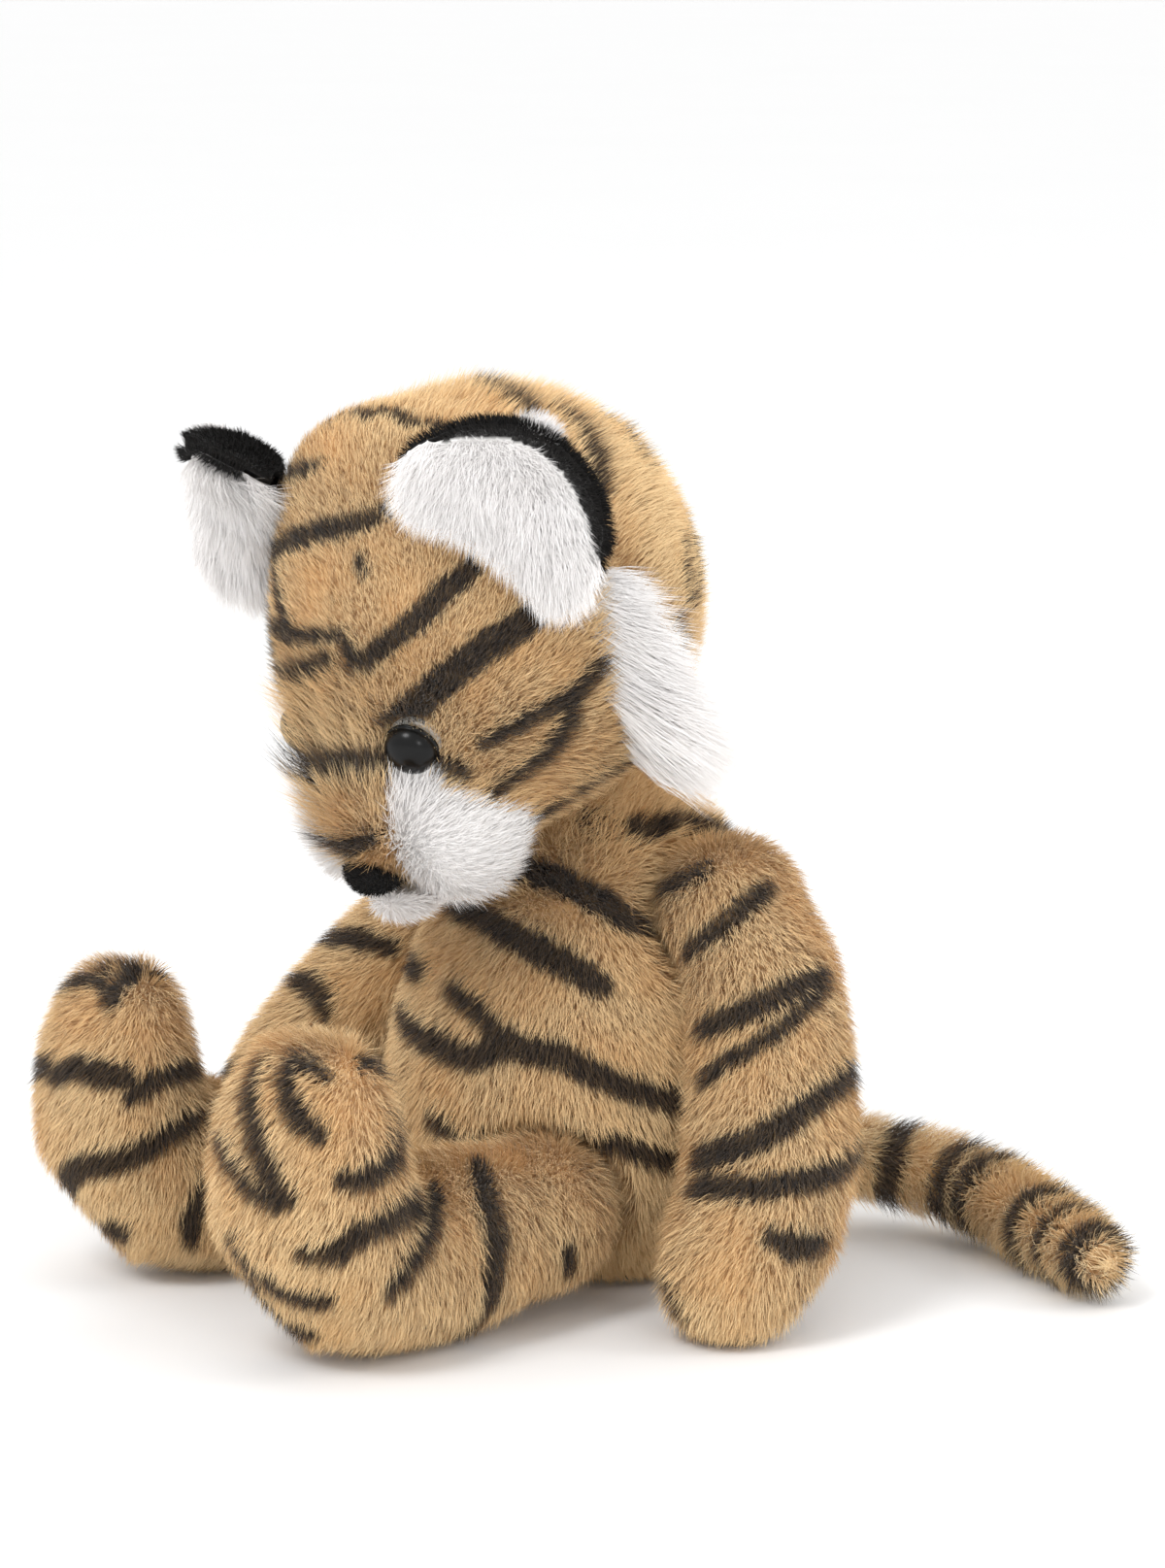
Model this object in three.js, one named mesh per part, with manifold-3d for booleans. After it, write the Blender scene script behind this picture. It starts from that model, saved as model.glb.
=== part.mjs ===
// A seated plush tiger, sewn from fur fabric and stuffed, at its real size in millimetres.
// +Z is up, -Y is the way the tiger faces and +X is its left. The origin lies on the floor
// under the middle of the seat.
import * as THREE from "three";
import { mergeVertices } from "three/addons/utils/BufferGeometryUtils.js";
import Module from "manifold-3d";

const wasm = await Module();
wasm.setup();

// Driving dimensions
const SKIN = 4; // fur fabric, backing and laid pile together
const SEAM = 0.4; // gap between pieces that touch
const PLAY = 1.2; // gap around a round root that turns
const EYE = 15; // diameter of a safety eye
const SHANK = 2.4; // radius of the eye's shank
const NECK = [0, -13, 124]; // where the head rolls on the body
const NECK_RADIUS = 30;
const HEAD_BOW = 42; // degrees, how far the head hangs forward
const HEAD_TURN = 12; // degrees towards the tiger's left
const EAR_ROLL = { left: 52, right: 64 }; // degrees, how far an ear stands out from straight up
const EAR_LEAN = { left: 30, right: 4 }; // degrees an ear leans back
const EAR_FLEX = 20; // degrees an ear bends each way
const SHOULDER = [50, 3, 111]; // left one
const SHOULDER_RADIUS = 23;
const HIP = [38.7, -54.7, 28]; // left one
const HIP_RADIUS = 25;
const LEG_SPLAY = 12; // degrees each foot points outward
const SOLE_PLANE = -98; // where the sole is sewn to the foot, along the leg
const TAIL_ROOT = [2, 54, 25];
const TAIL_RADIUS = 13;

const rad = THREE.MathUtils.degToRad;
const SIDES = { left: 1, right: -1 };

// Surfaces

const FINISH = {
  tan: { color: 0xcfa772, roughness: 0.95 },
  white: { color: 0xf0eeee, roughness: 0.95 },
  black: { color: 0x14120f, roughness: 0.9 },
  filling: { color: 0xe9e7e0, roughness: 1 },
  bag: { color: 0xd9d4c8, roughness: 0.9 },
  eye: { color: 0x060606, roughness: 0.12 },
  washer: { color: 0xe8e8e4, roughness: 0.5 },
};

function material(finish) {
  return new THREE.MeshStandardMaterial({ metalness: 0, ...FINISH[finish] });
}

// Solids from geometry and back

function solid(geometry) {
  const flat = geometry.index ? geometry.toNonIndexed() : geometry;
  const bare = new THREE.BufferGeometry();
  bare.setAttribute("position", flat.attributes.position);
  const merged = mergeVertices(bare, 1e-3);
  const vertProperties = merged.attributes.position.array;
  const triVerts = new Uint32Array(merged.index.array);
  if (signedVolume(vertProperties, triVerts) < 0) triVerts.reverse();
  return new wasm.Manifold(new wasm.Mesh({ numProp: 3, vertProperties, triVerts }));
}

// Six times the volume that a closed surface holds, negative when its faces look inward.
function signedVolume(points, index) {
  let sum = 0;
  const corner = (i) => new THREE.Vector3().fromArray(points, index[i] * 3);
  for (let i = 0; i < index.length; i += 3)
    sum += corner(i).dot(corner(i + 1).cross(corner(i + 2)));
  return sum;
}

function geometryOf(body) {
  const { numProp, numVert, vertProperties, triVerts } = body.getMesh();
  const points = new Float32Array(numVert * 3);
  for (let i = 0; i < numVert; i++)
    points.set(vertProperties.subarray(i * numProp, i * numProp + 3), i * 3);
  return new THREE.BufferGeometry()
    .setAttribute("position", new THREE.BufferAttribute(points, 3))
    .setIndex(new THREE.BufferAttribute(triVerts, 1));
}

function piece(name, body, finish) {
  const mesh = new THREE.Mesh(geometryOf(body), material(finish));
  mesh.name = name;
  return mesh;
}

// Simple shapes

function ball(radius, at = [0, 0, 0], sides = 24) {
  return new THREE.SphereGeometry(radius, sides, sides / 2).translate(...at);
}

function oval(half, at = [0, 0, 0], sides = 20) {
  return new THREE.SphereGeometry(1, sides, Math.round(sides * 0.6))
    .scale(...half)
    .translate(...at);
}

function box(low, high) {
  const size = high.map((h, i) => h - low[i]);
  const middle = high.map((h, i) => (h + low[i]) / 2);
  return new THREE.BoxGeometry(...size).translate(...middle);
}

function rod(radius, from, to, sides = 16) {
  const start = new THREE.Vector3(...from);
  const end = new THREE.Vector3(...to);
  const along = end.clone().sub(start);
  const turn = new THREE.Quaternion().setFromUnitVectors(
    new THREE.Vector3(0, 1, 0),
    along.clone().normalize(),
  );
  return new THREE.CylinderGeometry(radius, radius, along.length(), sides)
    .applyQuaternion(turn)
    .translate(...start.add(end).multiplyScalar(0.5).toArray());
}

// A solid turned about the Y axis from a profile of [radius, y] that starts and ends on it.
function turned(profile, sides = 20) {
  const points = profile.map(([r, y]) => new THREE.Vector2(r, y));
  return new THREE.LatheGeometry(points, sides);
}

// Rings of points, each [x, y, z], closed at both ends by a point.
function closedRings(start, rings, end) {
  const sides = rings[0].length;
  const points = [start, ...rings.flat(), end];
  const last = points.length - 1;
  const index = [];
  for (let k = 0; k < sides; k++) {
    const next = (k + 1) % sides;
    index.push(0, 1 + next, 1 + k);
    for (let i = 0; i < rings.length - 1; i++) {
      const a = 1 + i * sides;
      const b = a + sides;
      index.push(a + k, a + next, b + k, b + k, a + next, b + next);
    }
    const edge = 1 + (rings.length - 1) * sides;
    index.push(last, edge + k, edge + next);
  }
  return new THREE.BufferGeometry()
    .setAttribute("position", new THREE.Float32BufferAttribute(points.flat(), 3))
    .setIndex(index);
}

// Stuffed forms

function smoothPath(points) {
  const path = points.map((p) => new THREE.Vector3(...p));
  return new THREE.CatmullRomCurve3(path, false, "centripetal");
}

function smoothValues(points) {
  const path = points.map((p) => new THREE.Vector3(...p));
  return new THREE.CatmullRomCurve3(path, false, "catmullrom", 0.5);
}

// A stuffed form: oval rings strung along a curve and drawn in round at both ends. wide runs
// along `across`, thick square to it, and both are half-widths at even steps along the curve.
// full is 1 for an egg's ends and smaller for blunter ones. inset shrinks the whole form and
// coarse thins its rings out.
function stuffed(form, inset = 0, coarse = 1) {
  const { spine, wide, thick, full, across = [[1, 0, 0]] } = form;
  const sides = Math.round(form.sides * coarse);
  const count = Math.round(form.rings * coarse);
  const curve = smoothPath(spine);
  const widths = smoothValues(wide.map((w, i) => [w, thick[i], i]));
  const lateral = across.length > 1 ? smoothValues(across) : null;
  const length = curve.getLength();
  // A share of the curve, drawn in from both ends by the inset, or out past them.
  const onCurve = (part) => {
    const far = inset / length + part * (1 - (2 * inset) / length);
    const share = THREE.MathUtils.clamp(far, 0, 1);
    const along = curve.getTangentAt(share);
    const centre = curve.getPointAt(share).addScaledVector(along, (far - share) * length);
    return { share, along, centre };
  };
  const ring = (angle) => {
    const { share, along, centre } = onCurve((1 - Math.cos(angle)) / 2);
    const side = lateral ? lateral.getPoint(share) : new THREE.Vector3(...across[0]);
    side.addScaledVector(along, -side.dot(along)).normalize();
    const up = new THREE.Vector3().crossVectors(along, side);
    const { x, y } = widths.getPoint(share);
    const draw = Math.sin(angle) ** full;
    return Array.from({ length: sides }, (_, k) => {
      const turn = (2 * Math.PI * k) / sides;
      const point = centre.clone();
      point.addScaledVector(side, (x - inset) * draw * Math.cos(turn));
      point.addScaledVector(up, (y - inset) * draw * Math.sin(turn));
      return point.toArray();
    });
  };
  const rings = Array.from({ length: count - 1 }, (_, i) => ring((Math.PI * (i + 1)) / count));
  const ends = [0, 1].map((part) => onCurve(part).centre.toArray());
  return closedRings(ends[0], rings, ends[1]);
}

// How deep a point lies inside a form of oval lobes that run into each other, negative inside.
// Each lobe is { at, size } with size its three half-widths.
function depthIn({ lobes, melt }, [x, y, z]) {
  let sum = 0;
  for (const { at, size } of lobes) {
    const far = Math.hypot((x - at[0]) / size[0], (y - at[1]) / size[1], (z - at[2]) / size[2]);
    sum += Math.exp((-(far - 1) * Math.min(...size)) / melt);
  }
  return -melt * Math.log(sum);
}

// How far such a form reaches from its centre in one direction.
function reach(form, direction, inset = 0) {
  let near = 0;
  let far = 160;
  for (let i = 0; i < 22; i++) {
    const middle = (near + far) / 2;
    const point = form.centre.map((c, k) => c + direction[k] * middle);
    if (depthIn(form, point) < -inset) near = middle;
    else far = middle;
  }
  return near;
}

function blended(form, inset = 0, coarse = 1) {
  const sides = Math.round(form.sides * coarse);
  const sphere = new THREE.SphereGeometry(1, sides, Math.round(form.rings * coarse));
  const places = sphere.rotateX(Math.PI / 2).attributes.position;
  for (let i = 0; i < places.count; i++) {
    const direction = [places.getX(i), places.getY(i), places.getZ(i)];
    const far = reach(form, direction, inset);
    places.setXYZ(i, ...form.centre.map((c, k) => c + direction[k] * far));
  }
  return sphere;
}

// Frames

const tiger = new THREE.Group();

function placed(parent, at, turns = [0, 0, 0], order = "XYZ") {
  const group = new THREE.Group();
  group.position.set(...at);
  group.rotation.set(...turns.map(rad), order);
  parent.add(group);
  return group;
}

const mirrored = (point, side) => [side * point[0], point[1], point[2]];

// Body. The shoulders, the hips and the tail sit in round hollows.

const TORSO = {
  spine: [[0, -2, -4], [0, -5, 40], [0, -9, 88], [0, -14, 146]],
  wide: [56, 63, 56, 36],
  thick: [57, 68, 55, 35],
  full: 0.5,
  sides: 24,
  rings: 15,
};
const PELLET_BAG = { half: [36, 38, 13], at: [0, 8, 8] };

function hollows(grow, sides) {
  const pairs = Object.values(SIDES).flatMap((side) => [
    ball(HIP_RADIUS + grow, mirrored(HIP, side), sides),
    ball(SHOULDER_RADIUS + grow, mirrored(SHOULDER, side), sides),
  ]);
  return [...pairs, ball(TAIL_RADIUS + grow, TAIL_ROOT, 14)].map(solid);
}

function torsoForm(inset) {
  const inner = inset > 0;
  const neck = solid(ball(NECK_RADIUS - inset, NECK, inner ? 14 : 18));
  let form = solid(stuffed(TORSO, inset, inner ? 0.6 : 1)).add(neck);
  for (const hollow of hollows(PLAY + inset, inner ? 12 : 16)) form = form.subtract(hollow);
  return form.subtract(solid(box([-300, -300, -90], [300, 300, inset])));
}

function torso() {
  const inside = torsoForm(SKIN);
  const [x, y, z] = NECK;
  const throat = solid(rod(12, [x, y, z + 15], [x, y, z + 40], 12));
  const skin = torsoForm(0).subtract(inside).subtract(throat);
  tiger.add(piece("torso_skin", skin, "tan"));

  const { half, at } = PELLET_BAG;
  const room = torsoForm(SKIN + SEAM);
  const bag = solid(oval(half, at, 16)).intersect(room);
  const bagRoom = solid(oval(half.map((h) => h + SEAM), at, 16));
  const neckRoom = solid(ball(NECK_RADIUS - SKIN, NECK, 14));
  tiger.add(piece("torso_filling", room.subtract(bagRoom).subtract(neckRoom), "filling"));
  tiger.add(piece("seat_pellet_bag", bag, "bag"));
  const neck = ball(NECK_RADIUS - SKIN - 5 * SEAM, NECK, 14);
  tiger.add(piece("neck_filling", solid(neck), "filling"));
}

// Head, in a frame that stands on the neck and faces -Y. Places in it are told from the middle
// of the skull.

const SKULL = [0, 18, 81];

const fromSkull = (x, y, z) => [SKULL[0] + x, SKULL[1] + y, SKULL[2] + z];

const HEAD = {
  centre: SKULL,
  melt: 3.5,
  sides: 30,
  rings: 20,
  lobes: [
    { at: fromSkull(0, 0, -1), size: [61.5, 62, 61] },
    { at: fromSkull(0, 0, 10), size: [56, 34, 63] },
    { at: fromSkull(14, -52, -17), size: [16, 28, 21] },
    { at: fromSkull(-14, -52, -17), size: [16, 28, 21] },
    { at: fromSkull(0, -49, -9), size: [20, 27, 20] },
    { at: fromSkull(0, -46, -27), size: [30, 28, 22] },
  ],
};
const MUZZLE = { half: [15, 21, 20], at: fromSkull(22, -59, -27) };
const CHIN = { half: [15, 15, 10.5], at: fromSkull(0, -70.5, -37.5) };
const NOSE = { half: [11.5, 8, 7], at: fromSkull(0, -77.5, -28) };
const EYE_WAY = [22.5, -58, 7]; // where the left eye looks, from the middle of the skull

function headForm(inset, coarse = 1) {
  const dish = ball(NECK_RADIUS + PLAY + inset, [0, 0, 0], inset > 0 ? 14 : 18);
  return solid(blended(HEAD, inset, coarse)).subtract(solid(dish));
}

function lump({ half, at }, grow, side = 1, sides = 18) {
  return solid(oval(half.map((h) => h + grow), mirrored(at, side), sides));
}

// Stands a shape that was turned about Y on the place of an eye, looking outward. Its origin
// comes to lie EYE_SUNK deep in the skin.
const EYE_SUNK = 1.6;

function atEye(profile, side) {
  const way = new THREE.Vector3(...mirrored(EYE_WAY, side)).normalize();
  const far = reach(HEAD, way.toArray()) - EYE_SUNK;
  const turn = new THREE.Quaternion().setFromUnitVectors(new THREE.Vector3(0, 1, 0), way);
  const shape = turned(profile, 14).applyQuaternion(turn);
  return solid(shape.translate(...fromSkull(...way.multiplyScalar(far).toArray())));
}

// The dome of an eye, from its rim to its middle.
function dome(radius, height, steps = 4) {
  return Array.from({ length: steps + 1 }, (_, i) => {
    const angle = (Math.PI / 2) * (i / steps);
    return [i === steps ? 0 : radius * Math.cos(angle), height * Math.sin(angle)];
  });
}

const SHANK_END = -10;
const WASHER = [-SKIN + EYE_SUNK - SEAM - 2, -SKIN + EYE_SUNK - SEAM]; // back and front of it
const EYE_PROFILE = [
  [0, SHANK_END],
  [SHANK, SHANK_END],
  [SHANK, 0],
  ...dome(EYE / 2, EYE * 0.4),
];
const EYE_SEAT = [
  [0, SHANK_END - SEAM],
  [SHANK + SEAM, SHANK_END - SEAM],
  [SHANK + SEAM, -SEAM],
  [EYE / 2 + SEAM, -SEAM],
  [EYE / 2 + SEAM, 6],
  [0, 6],
];
const WASHER_DISC = [[0, WASHER[0]], [7.5, WASHER[0]], [7.5, WASHER[1]], [0, WASHER[1]]];
const WASHER_ROOM = [
  [0, SHANK_END - SEAM],
  [SHANK + SEAM, SHANK_END - SEAM],
  [SHANK + SEAM, WASHER[0] - SEAM],
  [7.5 + SEAM, WASHER[0] - SEAM],
  [7.5 + SEAM, WASHER[1] + SEAM],
  [0, WASHER[1] + SEAM],
];

function headSkinAndFilling(group) {
  const throat = solid(rod(12, [0, 2, 15], [0, 9, 50], 12));
  let skin = headForm(0).subtract(headForm(SKIN, 0.6)).subtract(throat);
  let filling = headForm(SKIN + SEAM, 0.6);
  for (const side of Object.values(SIDES)) {
    skin = skin.subtract(atEye(EYE_SEAT, side)).subtract(atEye(WASHER_ROOM, side));
    filling = filling.subtract(atEye(EYE_SEAT, side)).subtract(atEye(WASHER_ROOM, side));
  }
  group.add(piece("head_skin", skin, "tan"));
  group.add(piece("head_filling", filling, "filling"));
}

function eyes(group) {
  for (const [name, side] of Object.entries(SIDES)) {
    const shankRoom = atEye(EYE_SEAT, side);
    group.add(piece(`eye_${name}`, atEye(EYE_PROFILE, side), "eye"));
    group.add(piece(`eye_washer_${name}`, atEye(WASHER_DISC, side).subtract(shankRoom), "washer"));
  }
}

// The white cheeks of the muzzle, the chin under them and the nose between them, each laid on
// what lies under it.
function muzzle(group) {
  let under = headForm(-SEAM);
  for (const [name, side] of Object.entries(SIDES)) {
    const across = solid(box([-60, -60, -60], [60, 60, 60]).translate(-side * (60 - SEAM / 2), 0, 60));
    const pad = lump(MUZZLE, 0, side).subtract(under).subtract(across);
    group.add(piece(`muzzle_${name}`, pad, "white"));
  }
  for (const side of Object.values(SIDES)) under = under.add(lump(MUZZLE, SEAM, side));
  group.add(piece("chin", lump(CHIN, 0).subtract(under), "white"));
  group.add(piece("nose", lump(NOSE, 0).subtract(under).subtract(lump(CHIN, SEAM)), "black"));
}

// Long hair that stands out from a cheek. Its root lies on the skull and its tips are free.
const RUFF = [
  { root: [59.5, -1, 18], tip: [64, 9, 10] },
  { root: [62, -7, 6], tip: [70, 6, -11] },
  { root: [60, -15, -15], tip: [76, -1, -37] },
  { root: [49.5, -15, -44], tip: [63, -3, -59] },
];

function ruff(side) {
  const middle = ({ root, tip }) => root.map((r, i) => (r + tip[i]) / 2);
  const out = ({ root, tip }) => root.map((r, i) => tip[i] - r);
  return stuffed({
    spine: RUFF.map((row) => mirrored(fromSkull(...middle(row)), side)),
    across: RUFF.map((row) => mirrored(out(row), side)),
    wide: [9, 13, 16, 13],
    thick: [4, 5, 5.5, 4.5],
    full: 0.5,
    sides: 14,
    rings: 12,
  });
}

// An ear is a bent disc that stands on the head, black fabric behind and long white pile in
// front. It bends about the X axis of its own frame, which touches the skull.
const EAR = { half: [32, 25.5], rise: 13, back: 7, front: 6, cup: 0.011 };
const EAR_PLACE = [43.5, -10, 45];
const EAR_SPOT = { half: [7, 4, 8], at: [-5, 4.5, 30] };

function earLayer(from, to, grow = 0) {
  const { half, rise, cup } = EAR;
  const disc = new THREE.SphereGeometry(1, 22, 6);
  const places = disc.attributes.position;
  const deep = Math.max(Math.abs(from), Math.abs(to)) + grow;
  for (let i = 0; i < places.count; i++) {
    const x = (half[0] + grow) * places.getX(i);
    const y = THREE.MathUtils.clamp(deep * places.getY(i), from - grow, to + grow);
    const z = rise + (half[1] + grow) * places.getZ(i);
    places.setXYZ(i, x, y - cup * x * x, z);
  }
  return solid(disc);
}

// Everything that the head and its muzzle take up while the ear bends.
function headAroundEar(group) {
  const toEar = group.matrix.clone().invert();
  let swept = null;
  for (const share of [-1, -0.5, 0, 0.5, 1]) {
    const bend = new THREE.Matrix4().makeRotationX(rad(share * EAR_FLEX));
    const head = solid(blended(HEAD, -0.6, 0.8).applyMatrix4(toEar).applyMatrix4(bend));
    swept = swept ? swept.add(head) : head;
  }
  return swept;
}

function ear(parent, name) {
  const side = SIDES[name];
  const at = fromSkull(...mirrored(EAR_PLACE, side));
  const group = placed(parent, at, [-EAR_LEAN[name], side * EAR_ROLL[name], 0], "YXZ");
  group.updateMatrix();
  const swept = headAroundEar(group);
  const back = earLayer(SEAM / 2, EAR.back).subtract(swept);
  const front = earLayer(-EAR.front, -SEAM / 2).subtract(swept);
  const spot = lump(EAR_SPOT, 0, side, 12).subtract(earLayer(-EAR.front, EAR.back, SEAM));
  group.add(piece(`ear_back_${name}`, back, "black"));
  group.add(piece(`ear_front_${name}`, front, "white"));
  group.add(piece(`ear_spot_${name}`, spot, "white"));
}

function head() {
  const group = placed(tiger, NECK, [HEAD_BOW, 0, HEAD_TURN], "ZXY");
  headSkinAndFilling(group);
  eyes(group);
  muzzle(group);
  for (const [name, side] of Object.entries(SIDES)) {
    const tuft = solid(ruff(side)).subtract(headForm(-SEAM));
    group.add(piece(`cheek_ruff_${name}`, tuft, "white"));
    ear(group, name);
  }
}

// Limbs and tail. Each has a round root that turns in a hollow of the body, and a skin that is
// open inside that hollow, where the filling went in.

const ARM_LIFT = [0, 20, 40, 60]; // degrees an arm lifts sideways, and where it is kept clear
const LEG_SWING = [-45, -34, -23, -12, 0, 8]; // degrees a leg swings down and up

// What the body takes up in the frame of a limb while the limb turns about one of its axes.
function bodyPast(group, axis, angles, inset) {
  group.updateMatrixWorld(true);
  const toLimb = group.matrixWorld.clone().invert();
  const poses = angles.map((angle) => {
    const back = new THREE.Matrix4().makeRotationAxis(new THREE.Vector3(...axis), -rad(angle));
    return solid(stuffed(TORSO, -2 * SEAM - inset).applyMatrix4(toLimb).applyMatrix4(back));
  });
  return poses.reduce((all, pose) => all.add(pose));
}

// The skin and the filling of a limb. away is a list of cutters for a given inset.
function skinAndFilling(form, radius, mouth, past, away) {
  const [outside, inside, filling] = [0, SKIN, SKIN + SEAM].map((inset) => {
    const root = solid(ball(radius - inset, [0, 0, 0], inset > 0 ? 10 : 14));
    let body = solid(stuffed(form, inset, inset > 0 ? 0.6 : 1));
    if (past) body = body.subtract(past(inset));
    body = body.add(root);
    for (const cutter of away(inset)) body = body.subtract(cutter);
    return body;
  });
  const opening = solid(rod(radius / 3, [0, 0, 0], mouth.map((m) => m * (radius + 8)), 8));
  return { skin: outside.subtract(inside).subtract(opening), filling };
}

// Everything below the floor, for a frame that stands upright at some height. inset keeps a
// filling off the floor by as much.
function floorBelow(height, inset) {
  return solid(box([-300, -300, -height - 200], [300, 300, -height + inset]));
}

const ARM = {
  left: [[-9, 0, 12], [16, 0, -22], [27, -4, -47], [37, -12, -73], [42, -26, -92], [42, -32, -112]],
  right: [[-6, 11, 9], [10, -20, -17], [25, -40, -42], [39, -54, -66], [49, -66, -90], [53, -71, -112]],
  wide: [22, 26, 25, 26, 27, 25],
  thick: [22, 26, 25, 26, 27, 25],
  full: 0.4,
  sides: 14,
  rings: 12,
};

function arm(name) {
  const side = SIDES[name];
  const group = placed(tiger, mirrored(SHOULDER, side));
  const form = { ...ARM, spine: ARM[name].map((p) => mirrored(p, side)) };
  const past = (inset) => bodyPast(group, [0, -side, 0], ARM_LIFT, inset);
  const away = (inset) => [floorBelow(SHOULDER[2], inset)];
  const { skin, filling } = skinAndFilling(form, SHOULDER_RADIUS, [-side, 0, 0], past, away);
  group.add(piece(`arm_skin_${name}`, skin, "tan"));
  group.add(piece(`arm_filling_${name}`, filling, "filling"));
}

const LEG = {
  spine: [[0, 10, 0], [0, -23, -1], [0, -53, -2], [0, -78, 6], [0, -83, 35], [0, -79, 65]],
  wide: [25, 28, 28, 33, 35, 30],
  thick: [25, 28, 28, 27, 26, 22],
  full: 0.4,
  sides: 16,
  rings: 15,
};

function leg(name) {
  const side = SIDES[name];
  const group = placed(tiger, mirrored(HIP, side), [0, 0, side * LEG_SPLAY]);
  const inFront = (plane) => solid(box([-90, plane - 90, -90], [90, plane, 120]));
  const past = (inset) => bodyPast(group, [-1, 0, 0], LEG_SWING, inset);
  const away = (inset) => {
    const sewn = SOLE_PLANE + (inset > SKIN ? 2 * SEAM : SEAM);
    return [floorBelow(HIP[2], inset), inFront(sewn)];
  };
  const { skin, filling } = skinAndFilling(LEG, HIP_RADIUS, [0, 1, 0], past, away);
  const sole = solid(stuffed(LEG)).intersect(inFront(SOLE_PLANE)).subtract(floorBelow(HIP[2], 0));
  group.add(piece(`leg_skin_${name}`, skin, "tan"));
  group.add(piece(`leg_filling_${name}`, filling, "filling"));
  group.add(piece(`sole_${name}`, sole, "tan"));
}

const TAIL = {
  spine: [[-4, -7, 1], [14, 24, -4], [42, 40, -9], [90, 34, -12], [124, 26, -12]],
  wide: [15, 13.5, 13, 13, 13.5],
  thick: [15, 13.5, 13, 13, 13.5],
  full: 0.35,
  across: [[0, 0, 1]],
  sides: 12,
  rings: 14,
};

function tail() {
  const group = placed(tiger, TAIL_ROOT);
  const away = (inset) => [floorBelow(TAIL_ROOT[2], inset)];
  const { skin, filling } = skinAndFilling(TAIL, TAIL_RADIUS, [0, -1, 0], null, away);
  group.add(piece("tail_skin", skin, "tan"));
  group.add(piece("tail_filling", filling, "filling"));
}

tiger.name = "plush_tiger";
torso();
head();
for (const name of Object.keys(SIDES)) {
  arm(name);
  leg(name);
}
tail();

export default tiger;
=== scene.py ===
"""The looks of a seated plush tiger: striped fur on sewn and stuffed forms, glossy safety eyes,
white muzzle, ear and cheek pile, on a pale studio floor."""

import math

import bmesh
import bpy
import numpy as np
from mathutils import Matrix, Vector
from mathutils.bvhtree import BVHTree


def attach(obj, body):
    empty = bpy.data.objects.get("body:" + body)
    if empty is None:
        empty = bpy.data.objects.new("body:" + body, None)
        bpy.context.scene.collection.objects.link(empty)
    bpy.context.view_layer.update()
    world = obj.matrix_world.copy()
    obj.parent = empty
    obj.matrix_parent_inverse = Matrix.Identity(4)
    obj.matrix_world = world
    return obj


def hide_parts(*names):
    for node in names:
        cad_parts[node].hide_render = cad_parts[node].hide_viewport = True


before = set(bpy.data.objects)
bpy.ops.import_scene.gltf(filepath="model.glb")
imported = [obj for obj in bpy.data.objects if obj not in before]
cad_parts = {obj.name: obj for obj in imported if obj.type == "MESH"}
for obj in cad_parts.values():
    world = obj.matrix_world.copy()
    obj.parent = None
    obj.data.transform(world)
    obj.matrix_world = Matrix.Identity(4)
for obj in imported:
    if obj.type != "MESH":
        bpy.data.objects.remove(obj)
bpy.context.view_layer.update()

MM = 0.001
SIDES = {"left": 1, "right": -1}

# Frames and spines, as the solids have them, in millimetres
NECK = np.array([0, -13, 124.0])
NECK_RADIUS = 30
HEAD_BOW = 42  # degrees
HEAD_TURN = 12
SKULL = np.array([0, 18, 81.0])
SHOULDER = [50, 3, 111]
HIP = [38.7, -54.7, 28]
LEG_SPLAY = 12
TAIL_ROOT = [2, 54, 25]
NOSE_TIP = np.array([0, -78, -27])  # from the middle of the skull
EYE_WAY = [22.5, -58, 7]  # the same, to the left eye
NOSE_LIFT = np.array([0, 0.5, 2.5])  # mm, how the stitches pull the nose up
EAR_PLACE = [43.5, -10, 45]
EAR_ROLL = {"left": 52, "right": 64}  # degrees
EAR_LEAN = {"left": 30, "right": 4}
EAR_MIDDLE = 13  # mm from an ear's root to the middle of its disc
# The way an ear's upper edge lies in its disc, outward and up, and how far along it, in mm, the
# black begins at the edge and everywhere
EAR_TOP = {"left": (0, 1, 8, 60), "right": (-0.5, 0.87, 1, 15)}
EAR_DISC = (26, 19)  # mm, half the width and height of the lining inside its black edge
EAR_BACK_REACH = (32, 25.5)  # mm, the same of the part of the back that is stuffed out
EAR_HAIR = {"left": 9.5, "right": 14}  # mm
EAR_PUFF = {"left": 1.5, "right": 2.5}  # mm by which the back is stuffed out
EAR_SPREAD = {"left": 0, "right": 5}  # mm by which the outer edge is pulled out
EAR_FOLD = {"left": 0.08, "right": 0.25}  # share by which the fold at the inner top draws an ear in
EYE = 15  # mm across
EYE_RISE = 0.4  # how high its dome is, as a share of that
ARM_SPINES = {
    "left": [[-9, 0, 12], [16, 0, -22], [27, -4, -47], [37, -12, -73], [42, -26, -92], [42, -32, -112]],
    "right": [[-6, 11, 9], [10, -20, -17], [25, -40, -42], [39, -54, -66], [49, -66, -90], [53, -71, -112]],
}
LEG_SPINE = [[0, 10, 0], [0, -23, -1], [0, -53, -2], [0, -78, 6], [0, -83, 35], [0, -79, 65]]
TAIL_SPINE = [[-4, -7, 1], [14, 24, -4], [42, 40, -9], [90, 34, -12], [124, 26, -12]]
TORSO_AXIS = [[-4, -2], [40, -5], [88, -9], [146, -14]]  # height and how far forward the middle lies
TORSO_SEAM = -6  # mm, where the front and the back of its pile meet
ANKLE = -118  # mm, where the pile of a foot and that of its leg meet
SPINE_STEP = 0.01  # share to either side over which the way of a spine is taken
OUTSIDE = 150  # mm from the torso's middle, where the rays toward it start

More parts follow.
